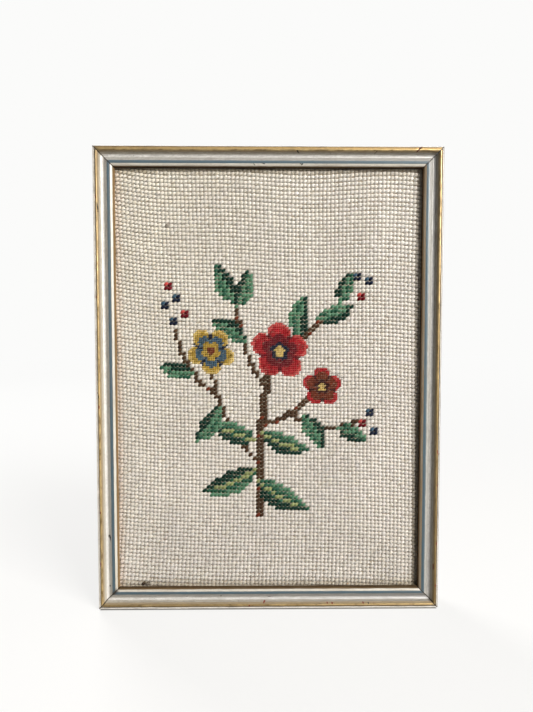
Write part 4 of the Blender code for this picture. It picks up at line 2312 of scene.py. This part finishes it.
def moulding_marks() -> tuple[Mark, ...]:
    """List the marks on the old paint, by where they are on the frame's face.

    Returns:
        The marks, turned from millimetres and degrees.
    """
    bole, pit = Wear.BOLE, Wear.PIT
    columns = ("across", "up", "half_length", "half_width", "turn", "wear", "deep")
    rows = {
        Side.LEFT: (
            (-89.4, 40.0, 1.0, 0.75, 20.0, pit, 0.7),
            (-93.7, 228.0, 1.3, 0.35, 0.0, bole, 0.06),
            (-92.6, 222.1, 3.0, 0.22, 4.0, pit, 0.05),
            (-93.8, 174.0, 1.1, 0.35, 0.0, bole, 0.06),
            (-93.6, 119.9, 1.8, 0.25, 14.0, pit, 0.06),
            (-93.2, 113.7, 0.9, 0.35, 0.0, bole, 0.06),
            (-93.4, 54.7, 0.8, 0.35, 0.0, bole, 0.06),
            (-93.6, 25.6, 1.5, 0.4, 8.0, bole, 0.06),
            (-89.5, 11.8, 0.5, 0.4, 0.0, pit, 0.2),
            (-86.9, 8.1, 2.0, 0.14, -45.0, pit, 0.15),
        ),
        Side.BOTTOM: (
            (-86.9, 8.1, 2.0, 0.14, 45.0, pit, 0.15),
            (-46.2, 5.7, 0.4, 0.3, 0.0, pit, 0.1),
            (-27.0, 5.8, 0.4, 0.3, 40.0, pit, 0.1),
            (-10.9, 1.7, 0.5, 0.5, 0.0, bole, 0.06),
            (-2.6, 3.0, 0.75, 0.4, 20.0, bole, 0.06),
            (0.4, 5.2, 1.3, 0.2, 0.0, pit, 0.06),
            (32.9, 2.6, 0.4, 0.25, 0.0, bole, 0.05),
            (35.6, 2.5, 0.5, 0.3, 0.0, bole, 0.05),
            (53.1, 2.6, 0.5, 0.25, 0.0, bole, 0.06),
            (56.0, 2.5, 0.35, 0.25, 0.0, pit, 0.04),
            (88.9, 4.6, 0.5, 0.3, 0.0, pit, 0.05),
        ),
        Side.TOP: (
            (15.6, 252.4, 1.0, 0.24, -25.0, pit, 0.06),
            (81.4, 253.6, 1.9, 0.45, 42.0, bole, 0.10),
            (81.4, 253.6, 1.7, 0.22, 42.0, pit, 0.16),
            (88.6, 254.6, 6.0, 0.16, 0.0, pit, 0.10),
            (58.0, 252.1, 0.9, 0.13, 35.0, pit, 0.03),
            (-8.0, 245.9, 0.9, 0.2, -45.0, pit, 0.06),
            (-3.0, 246.3, 1.1, 0.25, -15.0, pit, 0.06),
            (18.0, 245.9, 0.8, 0.3, 40.0, pit, 0.08),
            (17.2, 246.3, 0.7, 0.2, -30.0, pit, 0.08),
        ),
        Side.RIGHT: (
            (93.9, 169.5, 0.5, 0.3, 0.0, pit, 0.10),
            (93.7, 98.3, 0.4, 0.25, 0.0, pit, 0.08),
            (93.8, 88.0, 1.5, 0.4, 12.0, bole, 0.06),
            (93.7, 69.5, 0.7, 0.3, 20.0, bole, 0.06),
            (93.8, 36.4, 0.9, 0.35, 0.0, bole, 0.08),
            (93.6, 12.6, 0.9, 0.3, 0.0, bole, 0.08),
            (92.4, 23.0, 2.0, 0.15, 0.0, bole, 0.05),
        ),
    }
    marks = []
    for side, its_rows in rows.items():
        for row in its_rows:
            mark = dict(zip(columns, row), side=side)
            for name in ("across", "up", "half_length", "half_width", "deep"):
                mark[name] *= MM
            mark["turn"] = math.radians(mark["turn"])
            marks.append(Mark(**mark))
    return tuple(marks)


def flower_spray() -> FlowerSpray:
    """Lay out the spray in stitches from the middle.

    Returns:
        Its stems, leaves, blossoms and berries.
    """
    stems = (
        Stem((-3, -36), (-5, -14), (2, 12), True),
        Stem((-3, -22), (-14, -12), (-15, 4)),
        Stem((-2, -12), (10, -8), (14, 2)),
        Stem((-1, -2), (-8, 8), (-8, 22)),
        Stem((1, 4), (12, 14), (19, 21)),
        Stem((-14, -4), (-22, 0), (-24, 12)),
        Stem((6, -9), (16, -14), (23, -10)),
    )
    leaves = (
        Leaf((-4, -24), 15, 205, 3.0, 0.25, 1),
        Leaf((-3, -27), 15, -28, 3.2, -0.25, 1),
        Leaf((-4, -16), 12, 160, 2.8, 0.2, -1),
        Leaf((-2, -14), 13, -18, 2.8, -0.3, 1),
        Leaf((-13, -8), 11, 235, 2.6, 0.2, 1),
        Leaf((9, -9), 10, -60, 2.6, 0.2, -1),
        Leaf((-6, 10), 10, 150, 2.5, -0.25, 1),
        Leaf((-8, 20), 11, 118, 2.6, 0.2, 1),
        Leaf((-8, 19), 10, 70, 2.4, -0.2, -1),
        Leaf((8, 12), 11, 80, 2.6, 0.2, 1),
        Leaf((13, 17), 10, 20, 2.3, -0.25, 1),
        Leaf((19, 21), 9, 65, 2.2, 0.2, -1),
        Leaf((-20, 1), 9, 170, 2.2, 0.2, 1),
        Leaf((18, -12), 9, -25, 2.2, 0.2, 1),
    )
    red_rings = (
        (0.2, Yarn.STRAW), (0.34, Yarn.NAVY), (0.62, Yarn.MAROON), (0.9, Yarn.RED), (1.0, Yarn.ROSE),
    )
    gold_rings = (
        (0.2, Yarn.RUST), (0.42, Yarn.OCHRE), (0.7, Yarn.SLATE), (0.88, Yarn.OCHRE), (1.0, Yarn.STRAW),
    )
    rust_rings = ((0.22, Yarn.STRAW), (0.4, Yarn.PLUM), (0.8, Yarn.RUST), (1.0, Yarn.RED))
    blossoms = (
        Blossom((3, 8), 7.5, 5, 90.0, red_rings, Yarn.MAROON),
        Blossom((-15, 7), 6.2, 5, 54.0, gold_rings, Yarn.NAVY),
        Blossom((14, -1), 5.2, 5, 18.0, rust_rings, Yarn.PLUM),
    )
    blue_at = ((-25, 14), (-27, 18), (-24, 20), (21, 24), (23, 27), (26, 26), (26, -8), (27, -13))
    red_at = ((-22, 16), (-26, 23), (24, 22), (24, -11), (24, -15))
    berries = tuple(Berry(cell, Yarn.NAVY, Yarn.SLATE) for cell in blue_at)
    berries += tuple(Berry(cell, Yarn.MAROON, Yarn.ROSE) for cell in red_at)
    return FlowerSpray(stems, leaves, blossoms, berries)


def main() -> None:
    """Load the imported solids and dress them."""
    logging.basicConfig(level=logging.INFO, format="%(message)s")
    for existing in list(bpy.data.objects):
        bpy.data.objects.remove(existing, do_unlink=True)
    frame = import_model()
    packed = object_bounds()
    size = OuterSize(*(packed[1] - packed[0]).xzy)
    profile = Profile(depth=size.depth)
    Studio(size).build()

    Moulding(size, profile, MouldingPaint(profile), moulding_marks(), rail_wear()).build()

    slant = math.radians(30.0)
    grid = StitchGrid(size, profile)
    front = SolidFront(frame["nodes"]["stitched_canvas"])
    sheet = CanvasSheet(size, grid, front, CanvasFinish())
    canvas = sheet.build()
    wool = StitchedWool(size, grid, front, sheet, WoolFinish(slant), flower_spray(), slant)
    wool.build()

    board = frame["nodes"]["backing_board"]
    board.data.materials.clear()
    board.data.materials.append(BoardFinish().material())
    LOG.info("backing_board: its own solid, with a finish")

    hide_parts("stitched_canvas")
    for piece in (canvas, *wool.pieces):
        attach(piece, "root")
    bpy.context.view_layer.update()


if __name__ == "__main__":
    main()
